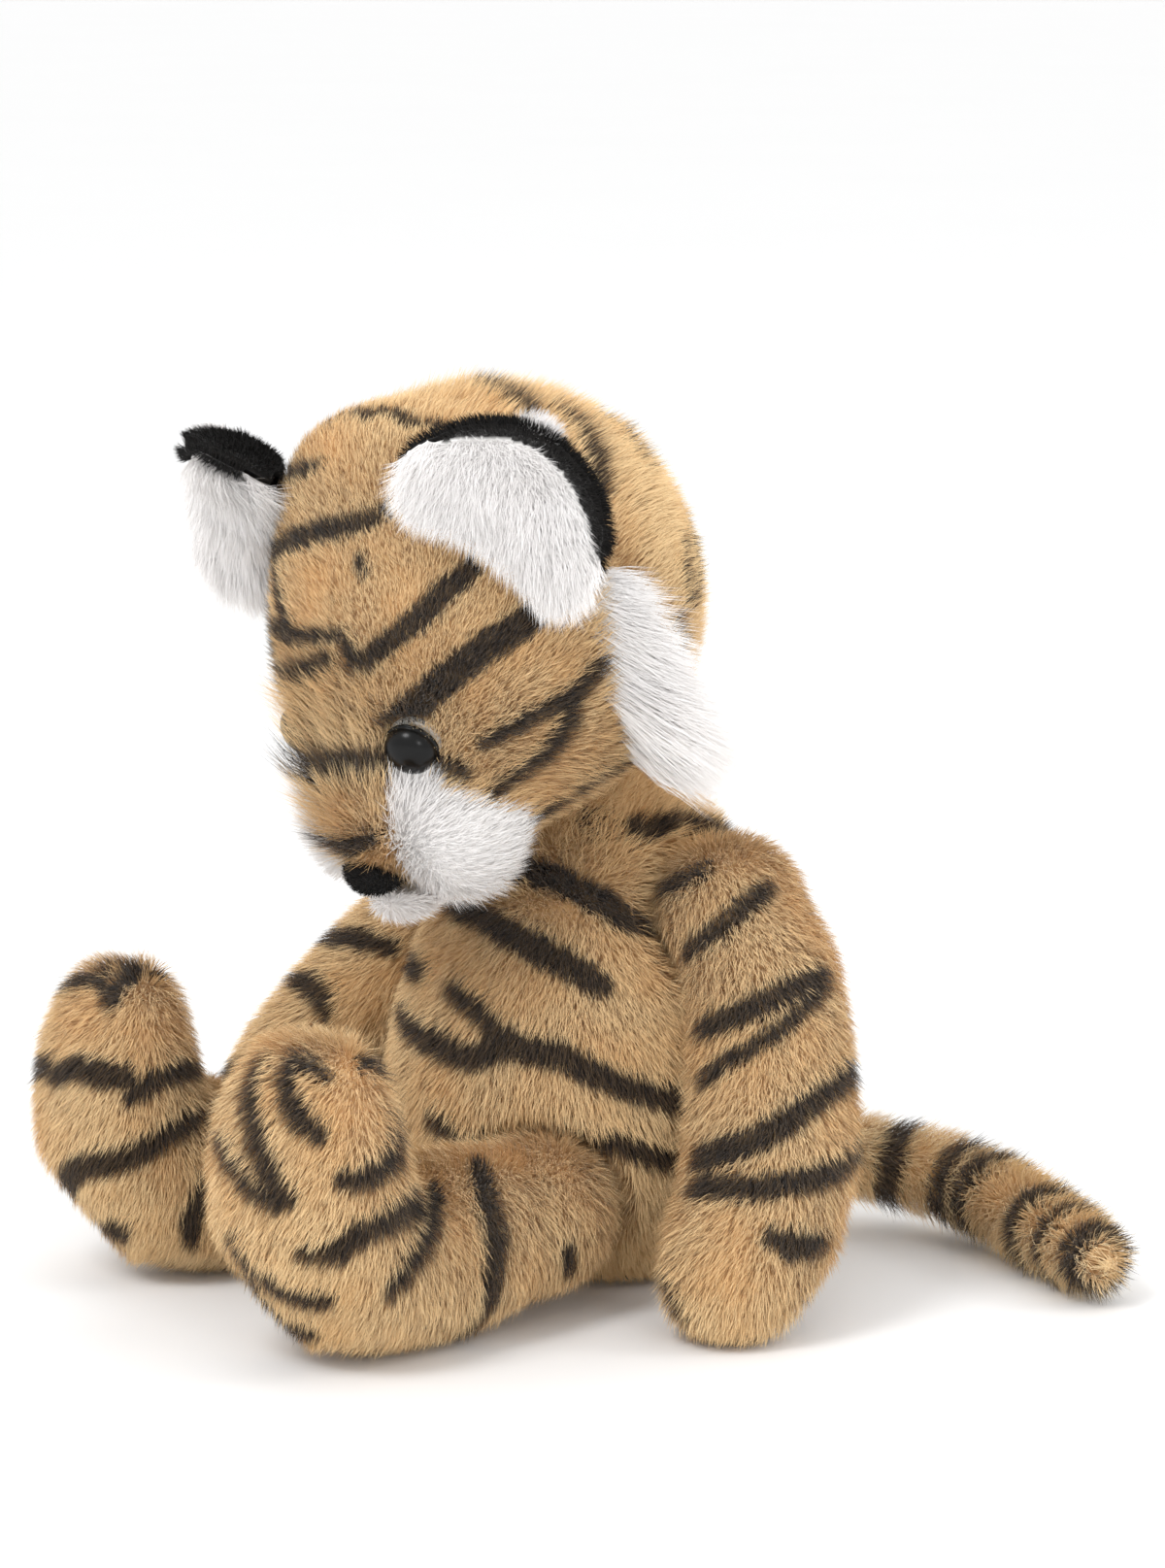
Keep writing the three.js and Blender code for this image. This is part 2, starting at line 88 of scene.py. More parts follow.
# Pile, in millimetres
PILE = 7.4  # length of the body's strands
TAIL_HAIR = 9.5  # of the tail's
STRAND_WIDTH = 0.28  # at the root
DENSITY = 2.8  # strands on a square millimetre
BACKING_DEPTH = 4.0  # how deep the woven backing lies under the laid pile
FLOOR_GAP = 0.25  # that the strands keep off the floor
SUNK = 1.5  # inside a neighbour, from where on no pile grows
NECK_ROOM = 6  # off the neck's ball that pile facing it leaves free
COLLAR = (4, 16)  # off the ball, between which the pile standing around it fades
COLLAR_PILE = 1.3  # length of that pile, beside the body's
BACKING_ALONG = 0.1  # share up a strand where it has the colour of its backing
STRIPE_BLEED = 0.7  # by which a stripe spreads at each side
LEG_STRIPE_BLEED = 0.4  # more on the legs
STRIPE_RAGGED = 0.4  # by which single strands stray over its edge
STRIPE_EDGE = 0.7  # over which its edge fades
PATCH_RAGGED = 0.5  # by which strands stray over the edge of the white patch
SEAM_WIDTH = 2.6  # to either side of a seam
SEAM_PRESS = 0.6  # share by which it shortens the pile
COMB_LEAST = 0.35  # share of a way that lies in the surface, below which the comb grows weaker
PATCHES = 45  # scale of the pile's patches of another tone
PAD_SHARE = 0.6  # size of a muzzle pad's cloth in its solid
PAD_SINK = 4  # by which it lies deeper
RUFF_HAIR = 1.3  # length of a cheek ruff's hair in its rows' runs
RUFF_ROOT_WIDTH = 5.5  # to either side of its root line
RUFF_LEVELS = [-44, -15], [67.9, 63]  # height of that line, and how far from the skull's middle
RUFF_DROOP = [0, -0.2, -0.2]  # the way it hangs, beside a way of length 1
STRIP_SHARE = 0.2  # width of a ruff's cloth in its solid
STRIP_SINK = 7  # by which it lies deeper
# Random seeds of the grown pieces; a side adds 1 or takes 1 away, quarters count up
SEEDS = {
    "backing": 5, "torso": 11, "arm": 20, "foot_fur": 30, "leg_fur": 34, "tail": 40,
    "head": 51, "chin": 63, "ear": 70, "ruff": 80, "nose": 90,
}

# Studio
ROOM_LIGHT = 1.03
CAMERA_ANGLES = (58, 10)  # degrees round the tiger's left and up
CAMERA_TARGET = (0, -0.0147, 0.140)  # m
CAMERA_DISTANCE = 1.5  # m
LAMP_AIM = (0, 0, 0.12)  # m


# Ways to say where something lies on a form

def rotation(axis, degrees):
    return np.array(Matrix.Rotation(math.radians(degrees), 3, axis))


HEAD_TURNED = rotation("Z", HEAD_TURN) @ rotation("X", HEAD_BOW)


def spline(points, share):
    """A point at a share from 0 to 1 of a smooth curve through the given points."""
    p = np.array(points, float)
    last = len(p) - 1
    t = min(max(share, 0), 1) * last
    i = min(int(t), last - 1)
    t -= i
    a, b, c, d = p[max(i - 1, 0)], p[i], p[i + 1], p[min(i + 2, last)]
    return 0.5 * (2 * b + (c - a) * t + (2 * a - 5 * b + 4 * c - d) * t**2 + (3 * b - a - 3 * c + d) * t**3)


def along(points, share):
    way = spline(points, min(share + SPINE_STEP, 1)) - spline(points, max(share - SPINE_STEP, 0))
    return way / np.linalg.norm(way)


def unit(v):
    v = np.asarray(v, float)
    return v / np.maximum(np.linalg.norm(v, axis=-1, keepdims=True), 1e-9)


def limb_ray(spine, outward, hand):
    """From the middle of a limb outward. around is 0 on its outer side and grows to the front."""
    def ray(share, around):
        way = along(spine, share)
        out = unit(np.array(outward, float) - way * np.dot(way, outward))
        across = hand * np.cross(way, out)
        angle = math.radians(around)
        return spline(spine, share), math.cos(angle) * out + math.sin(angle) * across
    return ray


def on_head(place):
    """A place given from the middle of the skull, in the frame of the whole object."""
    return NECK + HEAD_TURNED @ (SKULL + place)


def torso_ray(around, height):
    """From outside toward the middle. around is 0 in front and 90 on the tiger's left."""
    heights, forward = zip(*TORSO_AXIS)
    angle = math.radians(around)
    middle = np.array([0, np.interp(height, heights, forward), height])
    outward = np.array([math.sin(angle), -math.cos(angle), 0])
    return middle + OUTSIDE * outward, -outward


def head_ray(around, up):
    """around is 0 at the nose and 90 at the tiger's left ear, up is 90 at the crown."""
    a, u = math.radians(around), math.radians(up)
    way = np.array([math.sin(a) * math.cos(u), -math.cos(a) * math.cos(u), math.sin(u)])
    return NECK + HEAD_TURNED @ SKULL, HEAD_TURNED @ way


def arm_spine(side):
    x, y, z = SHOULDER
    hand = SIDES[side]
    return [[hand * (x + a), y + b, z + c] for a, b, c in ARM_SPINES[side]]


def splayed(point, side):
    return rotation("Z", LEG_SPLAY * SIDES[side]) @ np.array(point, float)


def leg_spine(side):
    hip = np.array([SIDES[side] * HIP[0], HIP[1], HIP[2]])
    return [hip + splayed(p, side) for p in LEG_SPINE]


def tail_spine():
    return [np.array(TAIL_ROOT) + p for p in np.array(TAIL_SPINE)]


# Stripes, each a list of (place, place, half-width in mm). On a limb the places are the share
# along it and the degrees around it, on the torso degrees around and height, on the head
# degrees around and up.

FACE_SIDE_STRIPES = [
    [(65, 43, 2.8), (52, 42, 3.3), (39, 39, 3.3), (26, 36, 3), (16, 32, 2.5)],
    [(70, 23, 3.6), (54, 24, 4.2), (38, 21, 4), (26, 17, 3.8), (17, 16, 1.4)],
    [(77, 0, 2.4), (67, -2, 2.8), (56, 0, 2.4), (48, 0, 2.2), (40, 0, 1.8)],
    [(66, -3, 2.8), (61, -9, 3), (52, -14, 2.8), (43, -15, 2.4), (34, -15, 1.8)],
    [(70, -46, 2.6), (58, -40, 3), (44, -40, 3), (34, -32, 2)],
    [(25, 1, 1.4), (29, -3, 2), (30, -6, 1.4)],
]
CROWN_STRIPES = [
    [(-21, -4, 2.8), (-5, 3, 2.6), (5, 5, 2.7), (12, 4, 2.3), (15, 3, 1.8)],
    [(-11, -11, 2.4), (-2, -10, 2.9), (8, -8, 1.6)],
    [(-37, 12, 2), (-15, 27, 2.4), (0, 33, 1.8)],
    [(-40, 30, 2.4), (-10, 38, 1.9), (7, 40, 1.9), (11, 33, 2.8)],
    [(19, 59, 2), (21, 55, 1.6)],
    [(-62, 40, 2.4), (-43, 57, 3.2), (-15, 67, 3), (19, 69, 3), (48, 68, 1.8)],
    [(-79, 60, 2.2), (-66, 71, 2.5), (-49, 79, 1.4)],
    [(-101, 75, 1.3), (-171, 85, 1.9), (123, 78, 2.2), (117, 70, 2)],
    [(-179, 48, 2), (160, 48, 2.2), (141, 46, 1.8)],
    [(150, 38, 1.8), (141, 33, 2.2), (129, 30, 2.2), (116, 26, 2.2)],
    [(163, 19, 1.2), (155, 16, 2), (146, 12, 2), (140, 10, 1.1)],
    [(129, -5, 1), (119, -9, 1.3), (113, -16, 1.1)],
    [(105, -13, 1.3), (103, -19, 1.8), (100, -22, 1.4)],
    [(-170, 40, 1.4), (-154, 36, 2.4), (-136, 34, 2.4), (-118, 28, 1.8)],
    [(-176, 14, 1.4), (-158, 10, 2.4), (-140, 8, 2.4), (-122, 3, 1.8)],
    [(176, -6, 1.4), (160, -12, 2.2), (140, -14, 2.4), (118, -20, 1.8)],
    [(-112, -14, 1.4), (-126, -18, 2.2), (-150, -20, 2.4), (-168, -24, 1.6)],
]
# The seam between the forehead's gusset and a side panel, where the pile is pressed down
GUSSET_SEAM = [
    (67, 72, 0), (49, 70, 0), (21, 57, 0), (15, 40, 0), (16, 24, 0), (18, 14, 0),
]
# The outline of the white pile that runs from under an eye around the muzzle to the chin
MUZZLE_PATCH = [
    (14.5, 2), (17, 5), (25, 2), (27, -5), (32, -11), (38, -24), (37, -33), (28, -40), (-1, -48),
    (-1, -32), (7, -30), (8, -23), (11, -14), (12.5, -6),
]
TORSO_STRIPES = [
    [(22, 120, 3.4), (47, 117, 3.9), (63, 112, 3.9), (76, 103, 2.6)],
    [(-14, 105, 2.2), (13, 105, 3.5), (35, 100, 3.7), (49, 95, 3.9), (59, 90, 3.1)],
    [(-38, 85, 3.4), (-22, 86, 3.6), (-14, 86, 2.8)],
    [(-26, 74, 2), (-8, 71, 3.2), (4, 70, 3.7), (19, 68, 3.5), (32, 73, 3.5), (47, 71, 3.7),
     (61, 64, 3.2), (78, 58, 3.2)],
    [(6, 85, 2.3), (19, 81, 2.9), (29, 75, 3.1), (37, 73, 2.9)],
    [(47, 53, 2.4), (60, 47, 3.3), (75, 42, 2.8)],
    [(7, 49, 2.3), (21, 44, 3.1), (33, 36, 3.4), (44, 28, 3.7), (48, 24, 2.2)],
    [(58, 133, 2.6), (70, 132, 3.6), (83, 130, 3.8), (91, 129, 3.4), (108, 130, 2.4)],
    [(119, 129, 2.8), (140, 124, 3.2), (156, 121, 2.2)],
    [(-52, 112, 2.2), (-66, 106, 3.2), (-84, 100, 2.4)],
    [(-40, 58, 2), (-56, 52, 3.2), (-74, 50, 3)],
    [(-46, 36, 2), (-60, 28, 3.2), (-74, 26, 2.2)],
    [(96, 104, 2.2), (118, 98, 3.4), (142, 95, 3.6), (160, 99, 2.4)],
    [(-98, 112, 2), (-120, 108, 3.2), (-144, 104, 3.2), (-158, 107, 2)],
    [(174, 112, 2.2), (-166, 90, 3.2), (-146, 80, 3.6), (-122, 78, 3.2), (-100, 82, 2.2)],
    [(98, 72, 2.2), (120, 66, 3.4), (144, 68, 3.6), (168, 78, 3.2), (-176, 84, 2.2)],
    [(104, 44, 2.2), (128, 40, 3.4), (150, 44, 3.4), (166, 50, 2.2)],
    [(-102, 52, 2.2), (-126, 48, 3.4), (-150, 52, 3.4), (-168, 60, 2.2)],
    [(112, 20, 2), (134, 16, 3), (150, 18, 2)],
    [(-112, 22, 2), (-132, 18, 3), (-148, 20, 2)],
]
ARM_STRIPES = [
    [(0.05, 98, 2.6), (0.06, 65, 2.4), (0.058, 42, 1.7)],
    [(0.143, 89, 2), (0.135, 51, 2.6), (0.118, 22, 2.6), (0.105, -1, 2)],
    [(0.285, 92, 2.6), (0.268, 54, 3.1), (0.245, 23, 2.9), (0.217, -21, 2.3)],
    [(0.228, -20, 1.7), (0.283, 15, 2.1), (0.348, 49, 2.1), (0.405, 91, 2.6)],
    [(0.34, -70, 2), (0.38, -45, 2.6), (0.45, 1, 3.1), (0.508, 31, 3.4), (0.555, 59, 3.4),
     (0.59, 96, 3.7)],
    [(0.705, 96, 3), (0.69, 70, 3.1), (0.675, 51, 3.1), (0.618, 21, 3.2), (0.575, -10, 3.2),
     (0.52, -51, 2.4), (0.48, -80, 2)],
    [(0.745, 24, 2), (0.733, 3, 3.6), (0.69, -22, 2.9)],
    [(0.855, 118, 1.6), (0.91, 84, 2.3)],
    [(0.12, -70, 2), (0.14, -100, 2.8), (0.17, -130, 2.2)],
    [(0.3, -95, 2), (0.33, -125, 2.8), (0.36, -160, 2.6), (0.35, 175, 1.8)],
    [(0.6, -110, 2), (0.62, -140, 3), (0.6, -175, 2.6), (0.58, 160, 1.8)],
    [(0.8, -70, 2), (0.82, -100, 3), (0.8, -140, 2.4)],
]
RIGHT_ARM_STRIPES = [
    [(0.42, 51, 2), (0.385, 80, 2.8), (0.345, 105, 2.8), (0.315, 130, 2.4)],
    [(0.5, 65, 1.6), (0.465, 95, 3.3), (0.455, 112, 3.3), (0.47, 126, 2)],
    [(0.74, 60, 2.6), (0.7, 82, 3), (0.66, 100, 2.4)],
    [(0.16, 88, 2), (0.15, 51, 2.6), (0.13, 22, 2.4), (0.12, -1, 2)],
    [(0.26, 30, 2.2), (0.24, 4, 2.9), (0.22, -24, 2.3)],
    [(0.34, -70, 2), (0.4, -35, 2.8), (0.47, 1, 3.1), (0.52, 28, 2.6)],
    [(0.66, 30, 2.6), (0.62, 5, 3.2), (0.56, -30, 2.6), (0.5, -70, 2)],
    [(0.83, 24, 2), (0.81, -5, 3.4), (0.78, -30, 2.6)],
    [(0.12, -70, 2), (0.14, -100, 2.8), (0.17, -130, 2.2)],
    [(0.3, -105, 2), (0.33, -135, 2.8), (0.36, -170, 2.4)],
    [(0.62, -110, 2), (0.64, -140, 3), (0.62, -175, 2.4)],
]
LEFT_LEG_STRIPES = [
    [(0.91, -116, 1.6), (0.868, -107, 2.6), (0.82, -85, 2.8), (0.77, -69, 3), (0.738, -56, 2.6)],
    [(0.792, -136, 1.4), (0.765, -107, 1.9), (0.74, -84, 2.3), (0.728, -63, 1.9)],
    [(0.93, -70, 1.6), (0.89, -67, 2.4), (0.855, -53, 2.8), (0.83, -35, 2.1)],
    [(0.927, -61, 1.9), (0.92, -44, 2), (0.907, -32, 1.2)],
    [(0.93, 5, 2), (0.92, 34, 2.8), (0.89, 44, 1.8)],
    [(0.84, 26, 2.2), (0.785, 12, 2.8), (0.765, -9, 2.8), (0.765, -22, 2)],
    [(0.667, -46, 2), (0.66, -31, 2.7), (0.682, -17, 2.8), (0.688, 4, 2.8), (0.68, 30, 3.6)],
    [(0.665, -108, 2.3), (0.635, -102, 3.6), (0.615, -82, 3.7), (0.603, -61, 3.3), (0.6, -46, 2.3)],
    [(0.608, -122, 2), (0.562, -125, 3.2), (0.547, -112, 3.4), (0.555, -82, 2.6)],
    [(0.415, 51, 2.2), (0.485, 25, 3.2), (0.555, 5, 2.8), (0.565, -14, 2)],
    [(0.24, 67, 2.2), (0.278, 36, 3.2), (0.29, 12, 3.3), (0.31, -12, 3.3), (0.3, -32, 2),
     (0.32, -60, 1.6)],
    [(0.122, -15, 1.8), (0.1, -35, 1.5)],
    [(0.84, 100, 2), (0.8, 140, 2.8), (0.78, 175, 2.6), (0.77, -165, 1.8)],
    [(0.5, 100, 2), (0.46, 140, 2.8), (0.47, 175, 2.6), (0.5, -160, 1.8)],
    [(0.3, 150, 2), (0.27, 175, 2.8), (0.3, -160, 2)],
]
RIGHT_LEG_STRIPES = [
    [(0.94, -119, 1.6), (0.955, -94, 2), (0.968, -69, 2.3), (0.975, -27, 2.3), (0.965, 15, 2.2)],
    [(0.897, -63, 2), (0.917, -91, 2.2), (0.93, -123, 1.6), (0.922, -141, 1.5)],
    [(0.905, -153, 2), (0.932, -155, 2.6), (0.955, -171, 2.6), (0.955, 166, 2.1), (0.945, 130, 1.5)],
    [(0.77, -58, 2.6), (0.795, -90, 2.8), (0.787, -118, 2.4), (0.81, -136, 3), (0.807, -155, 3.1),
     (0.8, -168, 2.6)],
    [(0.768, -171, 1.5), (0.79, 176, 2.2), (0.797, 155, 2.2), (0.78, 130, 1.8)],
    [(0.625, -96, 2.6), (0.66, -134, 3.1), (0.667, -155, 3.1), (0.667, -164, 2.7), (0.677, -176, 2.6),
     (0.695, 168, 2.6), (0.7, 143, 1.8)],
    [(0.57, -100, 3.2), (0.568, -116, 4), (0.575, -135, 2.8)],
    [(0.49, -146, 1.6), (0.512, -165, 2.4), (0.5, 175, 1.8)],
    [(0.84, -10, 2), (0.82, 24, 2.8), (0.8, 60, 2.6), (0.82, 95, 1.8)],
    [(0.68, -20, 2.2), (0.66, 10, 2.8), (0.62, 45, 2.8), (0.6, 75, 2)],
    [(0.42, 60, 2.2), (0.48, 30, 3), (0.52, 0, 2.8), (0.52, -25, 2)],
    [(0.26, 62, 2.2), (0.29, 30, 3.2), (0.3, 0, 3.4), (0.31, -30, 2.8)],
]
# A cheek ruff's hair, from its root to its tip, measured from the middle of the skull
RUFF_ROWS = [
    [(59.5, -1, 18), (64, 9, 10)],
    [(62, -7, 6), (70, 6, -11)],
    [(60, -15, -15), (76, -1, -37)],
    [(49.5, -15, -44), (63, -3, -59)],
]
TAIL_RINGS = [
    (0.31, 3.2), (0.475, 2.6), (0.55, 2.6), (0.71, 3), (0.8, 2), (0.91, 3.8),
]


class Form:
    """A closed backing with a tree for rays and nearest points, all in metres."""

    def __init__(self, obj):
        self.obj = obj
        mesh = obj.data
        self.co = read(mesh.vertices, "co")
        self.normal = read(mesh.vertices, "normal")
        self.tree = BVHTree.FromObject(obj, bpy.context.evaluated_depsgraph_get())

    def on_pile(self, ray, *place):
        """Where a ray leaves the pile that grows on this form."""
        start, way = ray(*place)
        hit, normal = self.tree.ray_cast(Vector(start * MM), Vector(way))[:2]
        return np.array(hit + normal * BACKING_DEPTH * MM) if hit else start * MM

    def holds(self, point):
        """Whether a point is inside, by how often a slanting ray from it crosses the skin."""
        way = Vector((0.31, 0.17, 0.93)).normalized()
        start, crossings = Vector(point), 0
        while True:
            hit = self.tree.ray_cast(start, way)[0]
            if hit is None:
                return crossings % 2 == 1
            crossings += 1
            start = hit + way * 1e-5

    def clearance(self, points, far=0.03):
        """How far outside this form each point lies, negative inside, and `far` at the most."""
        out = np.full(len(points), far)
        low, high = self.co.min(0) - far, self.co.max(0) + far
        for i in np.flatnonzero(((points > low) & (points < high)).all(1)):
            distance = min(self.tree.find_nearest(Vector(points[i]))[3], far)
            out[i] = -distance if self.holds(points[i]) else distance
        return out


def read(items, name, size=3, kind=np.float32):
    values = np.empty(len(items) * size, kind)
    items.foreach_get(name, values)
    return values.reshape(-1, size).astype(float)


def put(mesh, name, values, kind="FLOAT"):
    attribute = mesh.attributes.get(name) or mesh.attributes.new(name, kind, "POINT")
    key = "vector" if kind == "FLOAT_VECTOR" else "value"
    attribute.data.foreach_set(key, np.ascontiguousarray(values, np.float32).ravel())


def set_places(mesh, co):
    mesh.vertices.foreach_set("co", co.astype(np.float32).ravel())


def linked(name, data):
    obj = bpy.data.objects.new(name, data)
    bpy.context.scene.collection.objects.link(obj)
    return obj


def evaluated_mesh(obj):
    depsgraph = bpy.context.evaluated_depsgraph_get()
    return bpy.data.meshes.new_from_object(obj.evaluated_get(depsgraph))


def drop(obj):
    mesh = obj.data
    bpy.data.objects.remove(obj)
    bpy.data.meshes.remove(mesh)


def joined_copy(nodes):
    shape = bmesh.new()
    for node in nodes:
        shape.from_mesh(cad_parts[node].data)
    bmesh.ops.remove_doubles(shape, verts=shape.verts, dist=1e-6)
    mesh = bpy.data.meshes.new("copy")
    shape.to_mesh(mesh)
    shape.free()
    return mesh


def smooth(shape, rounds):
    for _ in range(rounds):
        bmesh.ops.smooth_vert(
            shape, verts=shape.verts, factor=0.5, use_axis_x=True, use_axis_y=True, use_axis_z=True)


def shade_smooth(mesh):
    for polygon in mesh.polygons:
        polygon.use_smooth = True


def backing(name, nodes, cell=2.4, rounds=10, depth=BACKING_DEPTH):
    """The sewn backing of one stuffed form: the given solids as one skin in cells of so many mm,
    smoothed, drawn in by a depth in mm and smoothed a little more."""
    rough = linked(name + "_rough", joined_copy(nodes))
    remesh = rough.modifiers.new("cells", "REMESH")
    remesh.mode = "VOXEL"
    remesh.voxel_size = cell * MM
    mesh = evaluated_mesh(rough)
    drop(rough)
    shape = bmesh.new()
    shape.from_mesh(mesh)
    smooth(shape, rounds)
    shape.normal_update()
    for vert in shape.verts:
        vert.co -= vert.normal * depth * MM
    smooth(shape, 3)
    shape.to_mesh(mesh)
    shape.free()
    mesh.name = name
    shade_smooth(mesh)
    mesh.materials.clear()
    return Form(linked(name, mesh))


# Materials

class Tree:
    """Short hand for building a tree of nodes."""

    def __init__(self, tree):
        self.tree = tree

    def add(self, kind, inputs=None, **settings):
        node = self.tree.nodes.new(kind)
        for key, value in settings.items():
            setattr(node, key, value)
        for key, value in (inputs or {}).items():
            self.feed(node.inputs[key], value)
        return node

    def feed(self, socket, value):
        if isinstance(value, bpy.types.Node):
            value = value.outputs[0]
        if isinstance(value, bpy.types.NodeSocket):
            self.tree.links.new(value, socket)
        else:
            socket.default_value = value


class Paint(Tree):
    """A material with one shader."""

    def __init__(self, name):
        self.material = bpy.data.materials.new(name)
        self.material.use_nodes = True
        super().__init__(self.material.node_tree)
        self.tree.nodes.clear()
        self.shader = self.add("ShaderNodeBsdfPrincipled")
        self.add("ShaderNodeOutputMaterial", {0: self.shader})

    def coat(self, inputs):
        for key, value in inputs.items():
            self.feed(self.shader.inputs[key], value)
        return self.material

    def attribute(self, name):
        return self.add("ShaderNodeAttribute", attribute_name=name).outputs["Fac"]

    def noise(self, scale):
        place = self.add("ShaderNodeTexCoord").outputs["Object"]
        node = self.add("ShaderNodeTexNoise", {"Scale": scale, "Detail": 3, "Vector": place})
        return node.outputs["Fac"]

    def blend(self, share, a, b):
        return self.add("ShaderNodeMix", {0: share, 6: a, 7: b}, data_type="RGBA").outputs[2]

    def ramp(self, source, low, high):
        return self.add("ShaderNodeMapRange", {"Value": source, "From Min": low, "From Max": high})


def sRGB(r, g, b):
    def linear(c):
        c /= 255
        return c / 12.92 if c <= 0.04045 else ((c + 0.055) / 1.055) ** 2.4
    return (linear(r), linear(g), linear(b), 1)


def fur_material(name, root, tip, deep, dark=None, pale=None, sheen=0.2):
    """Pile that is `root` at its foot and `tip` at its end, `deep` in patches, `dark` in the stripes and
    `pale` where white pile is sewn in. The darker root and lighter tip are painted shade down in the pile
    and painted highlight on the tips. The colours are red, green and blue up to 255."""
    root, tip, deep, dark, pale = (c and sRGB(*c) for c in (root, tip, deep, dark, pale))
    paint = Paint(name)
    tone = paint.attribute("tone")
    # Root to tip: painted shade down in the pile, painted highlight at the tips
    colour = paint.blend(paint.attribute("along"), root, tip)
    colour = paint.blend(paint.ramp(paint.noise(PATCHES), 0.42, 0.72), colour, deep)
    colour = paint.blend(paint.ramp(tone, 0.5, 1.2), colour, tip)
    if dark:
        dark_strand = paint.blend(paint.ramp(tone, 0.2, 6), dark, deep)
        colour = paint.blend(paint.attribute("dark"), colour, dark_strand)
    if pale:
        colour = paint.blend(paint.attribute("pale"), colour, pale)
    return paint.coat({
        "Base Color": colour,
        "Roughness": 0.8,
        "Specular IOR Level": 0.25,
        "Sheen Weight": sheen,
        "Sheen Roughness": 0.5,
    })


TAN_FUR = fur_material(
    "tan_fur", (162, 123, 81), (250, 220, 169), (221, 180, 126), (36, 29, 26), (249, 247, 246))
# The tail's pile: the body's tan painted lighter throughout, painted light that stands in for light shining
# through its raised hair
PAINTED_LIGHT_TAN_FUR = fur_material(
    "pale_tan_fur", (196, 154, 106), (255, 236, 192), (244, 208, 154), (56, 44, 36))
WHITE_FUR = fur_material("white_fur", (240, 237, 236), (252, 250, 249), (246, 243, 241), sheen=0.3)
LINING_CLOTH = fur_material(
    "lining_cloth", (244, 242, 240), (252, 250, 249), (247, 245, 243), (16, 14, 12))
BLACK_PLUSH = fur_material("black_plush", (10, 9, 8), (26, 23, 21), (16, 14, 12), sheen=0.1)


def glossy_black():
    paint = Paint("eye_plastic")
    smears = paint.ramp(paint.noise(260), -1.6, 7)
    return paint.coat({"Base Color": (0.004, 0.004, 0.004, 1), "Roughness": smears, "IOR": 1.3})


def clouded(name, scale, a, b, roughness):
    """A material between two colours, in clouds."""
    paint = Paint(name)
    return paint.coat({"Base Color": paint.blend(paint.noise(scale), a, b), "Roughness": roughness})


EYE_PLASTIC = glossy_black()
WASHER_PLASTIC = clouded("washer_plastic", 300, sRGB(228, 226, 220), sRGB(240, 238, 232), 0.45)
FURS = {"tan_fur": TAN_FUR, "white_fur": WHITE_FUR, "black_plush": BLACK_PLUSH}


# Fur

class Nodes(Tree):
    """A geometry tree."""

    def __init__(self, name, inputs):
        super().__init__(bpy.data.node_groups.new(name, "GeometryNodeTree"))
        sockets = self.tree.interface
        sockets.new_socket("Geometry", in_out="INPUT", socket_type="NodeSocketGeometry")
        for label, kind, value in inputs:
            socket = sockets.new_socket(label, in_out="INPUT", socket_type=kind)
            if value is not None:
                socket.default_value = value
        sockets.new_socket("Geometry", in_out="OUTPUT", socket_type="NodeSocketGeometry")
        self.value = self.add("NodeGroupInput").outputs
        self.end = self.add("NodeGroupOutput").inputs[0]

    def math(self, operation, *values):
        return self.add("ShaderNodeMath", dict(enumerate(values)), operation=operation).outputs[0]

    def vector(self, operation, *values):
        sockets = (0, "Scale") if operation == "SCALE" else range(len(values))
        return self.add("ShaderNodeVectorMath", dict(zip(sockets, values)), operation=operation).outputs[0]

    def xyz(self, x, y, z):
        return self.add("ShaderNodeCombineXYZ", {0: x, 1: y, 2: z})

    def named(self, name, kind="FLOAT"):
        return self.add("GeometryNodeInputNamedAttribute", {"Name": name}, data_type=kind).outputs[0]

    def stored(self, geometry, name, value, kind):
        inputs = {"Geometry": geometry, "Name": name, "Value": value}
        return self.add("GeometryNodeStoreNamedAttribute", inputs, data_type=kind, domain="POINT").outputs[0]

    def random(self, low, high, seed):
        inputs = {2: low, 3: high, "Seed": seed}
        return self.add("FunctionNodeRandomValue", inputs, data_type="FLOAT").outputs[1]

    def waves(self, size, seed):
        """Smooth random vectors about zero that change over `size` metres."""
        spot = self.vector("ADD", self.add("GeometryNodeInputPosition"), self.xyz(seed, seed, seed))
        node = self.add("ShaderNodeTexNoise", {"Scale": 1 / size, "Detail": 1.0, "Vector": spot})
        return self.vector("SUBTRACT", node.outputs["Color"], (0.5, 0.5, 0.5))


def unit_blade(g):
    """One blade, a unit long along Z and a unit wide along X, facing Y. The attribute along says how
    far up it a point lies."""
    grid = g.add("GeometryNodeMeshGrid", {"Size X": 1.0, "Size Y": 1.0, "Vertices X": 2, "Vertices Y": 3})
    at = g.add("ShaderNodeSeparateXYZ", {0: g.add("GeometryNodeInputPosition")}).outputs
    share = g.math("ADD", at[1], 0.5)
    taper = g.math("SUBTRACT", 1.0, g.math("POWER", share, 1.6))
    across = g.math("MULTIPLY", g.math("MULTIPLY", at[0], -1.0), taper)
    arch = g.math("MULTIPLY", share, g.math("SUBTRACT", 1.0, share))
    bulge = g.math("MULTIPLY", arch, g.math("MULTIPLY", g.value["Bow"], 4.0))
    blade = g.stored(grid, "along", share, "FLOAT")
    blade = g.add("GeometryNodeSetPosition", {"Geometry": blade, "Position": g.xyz(across, bulge, share)})
    return g.add("GeometryNodeMergeByDistance", {"Geometry": blade, "Distance": 0.001})


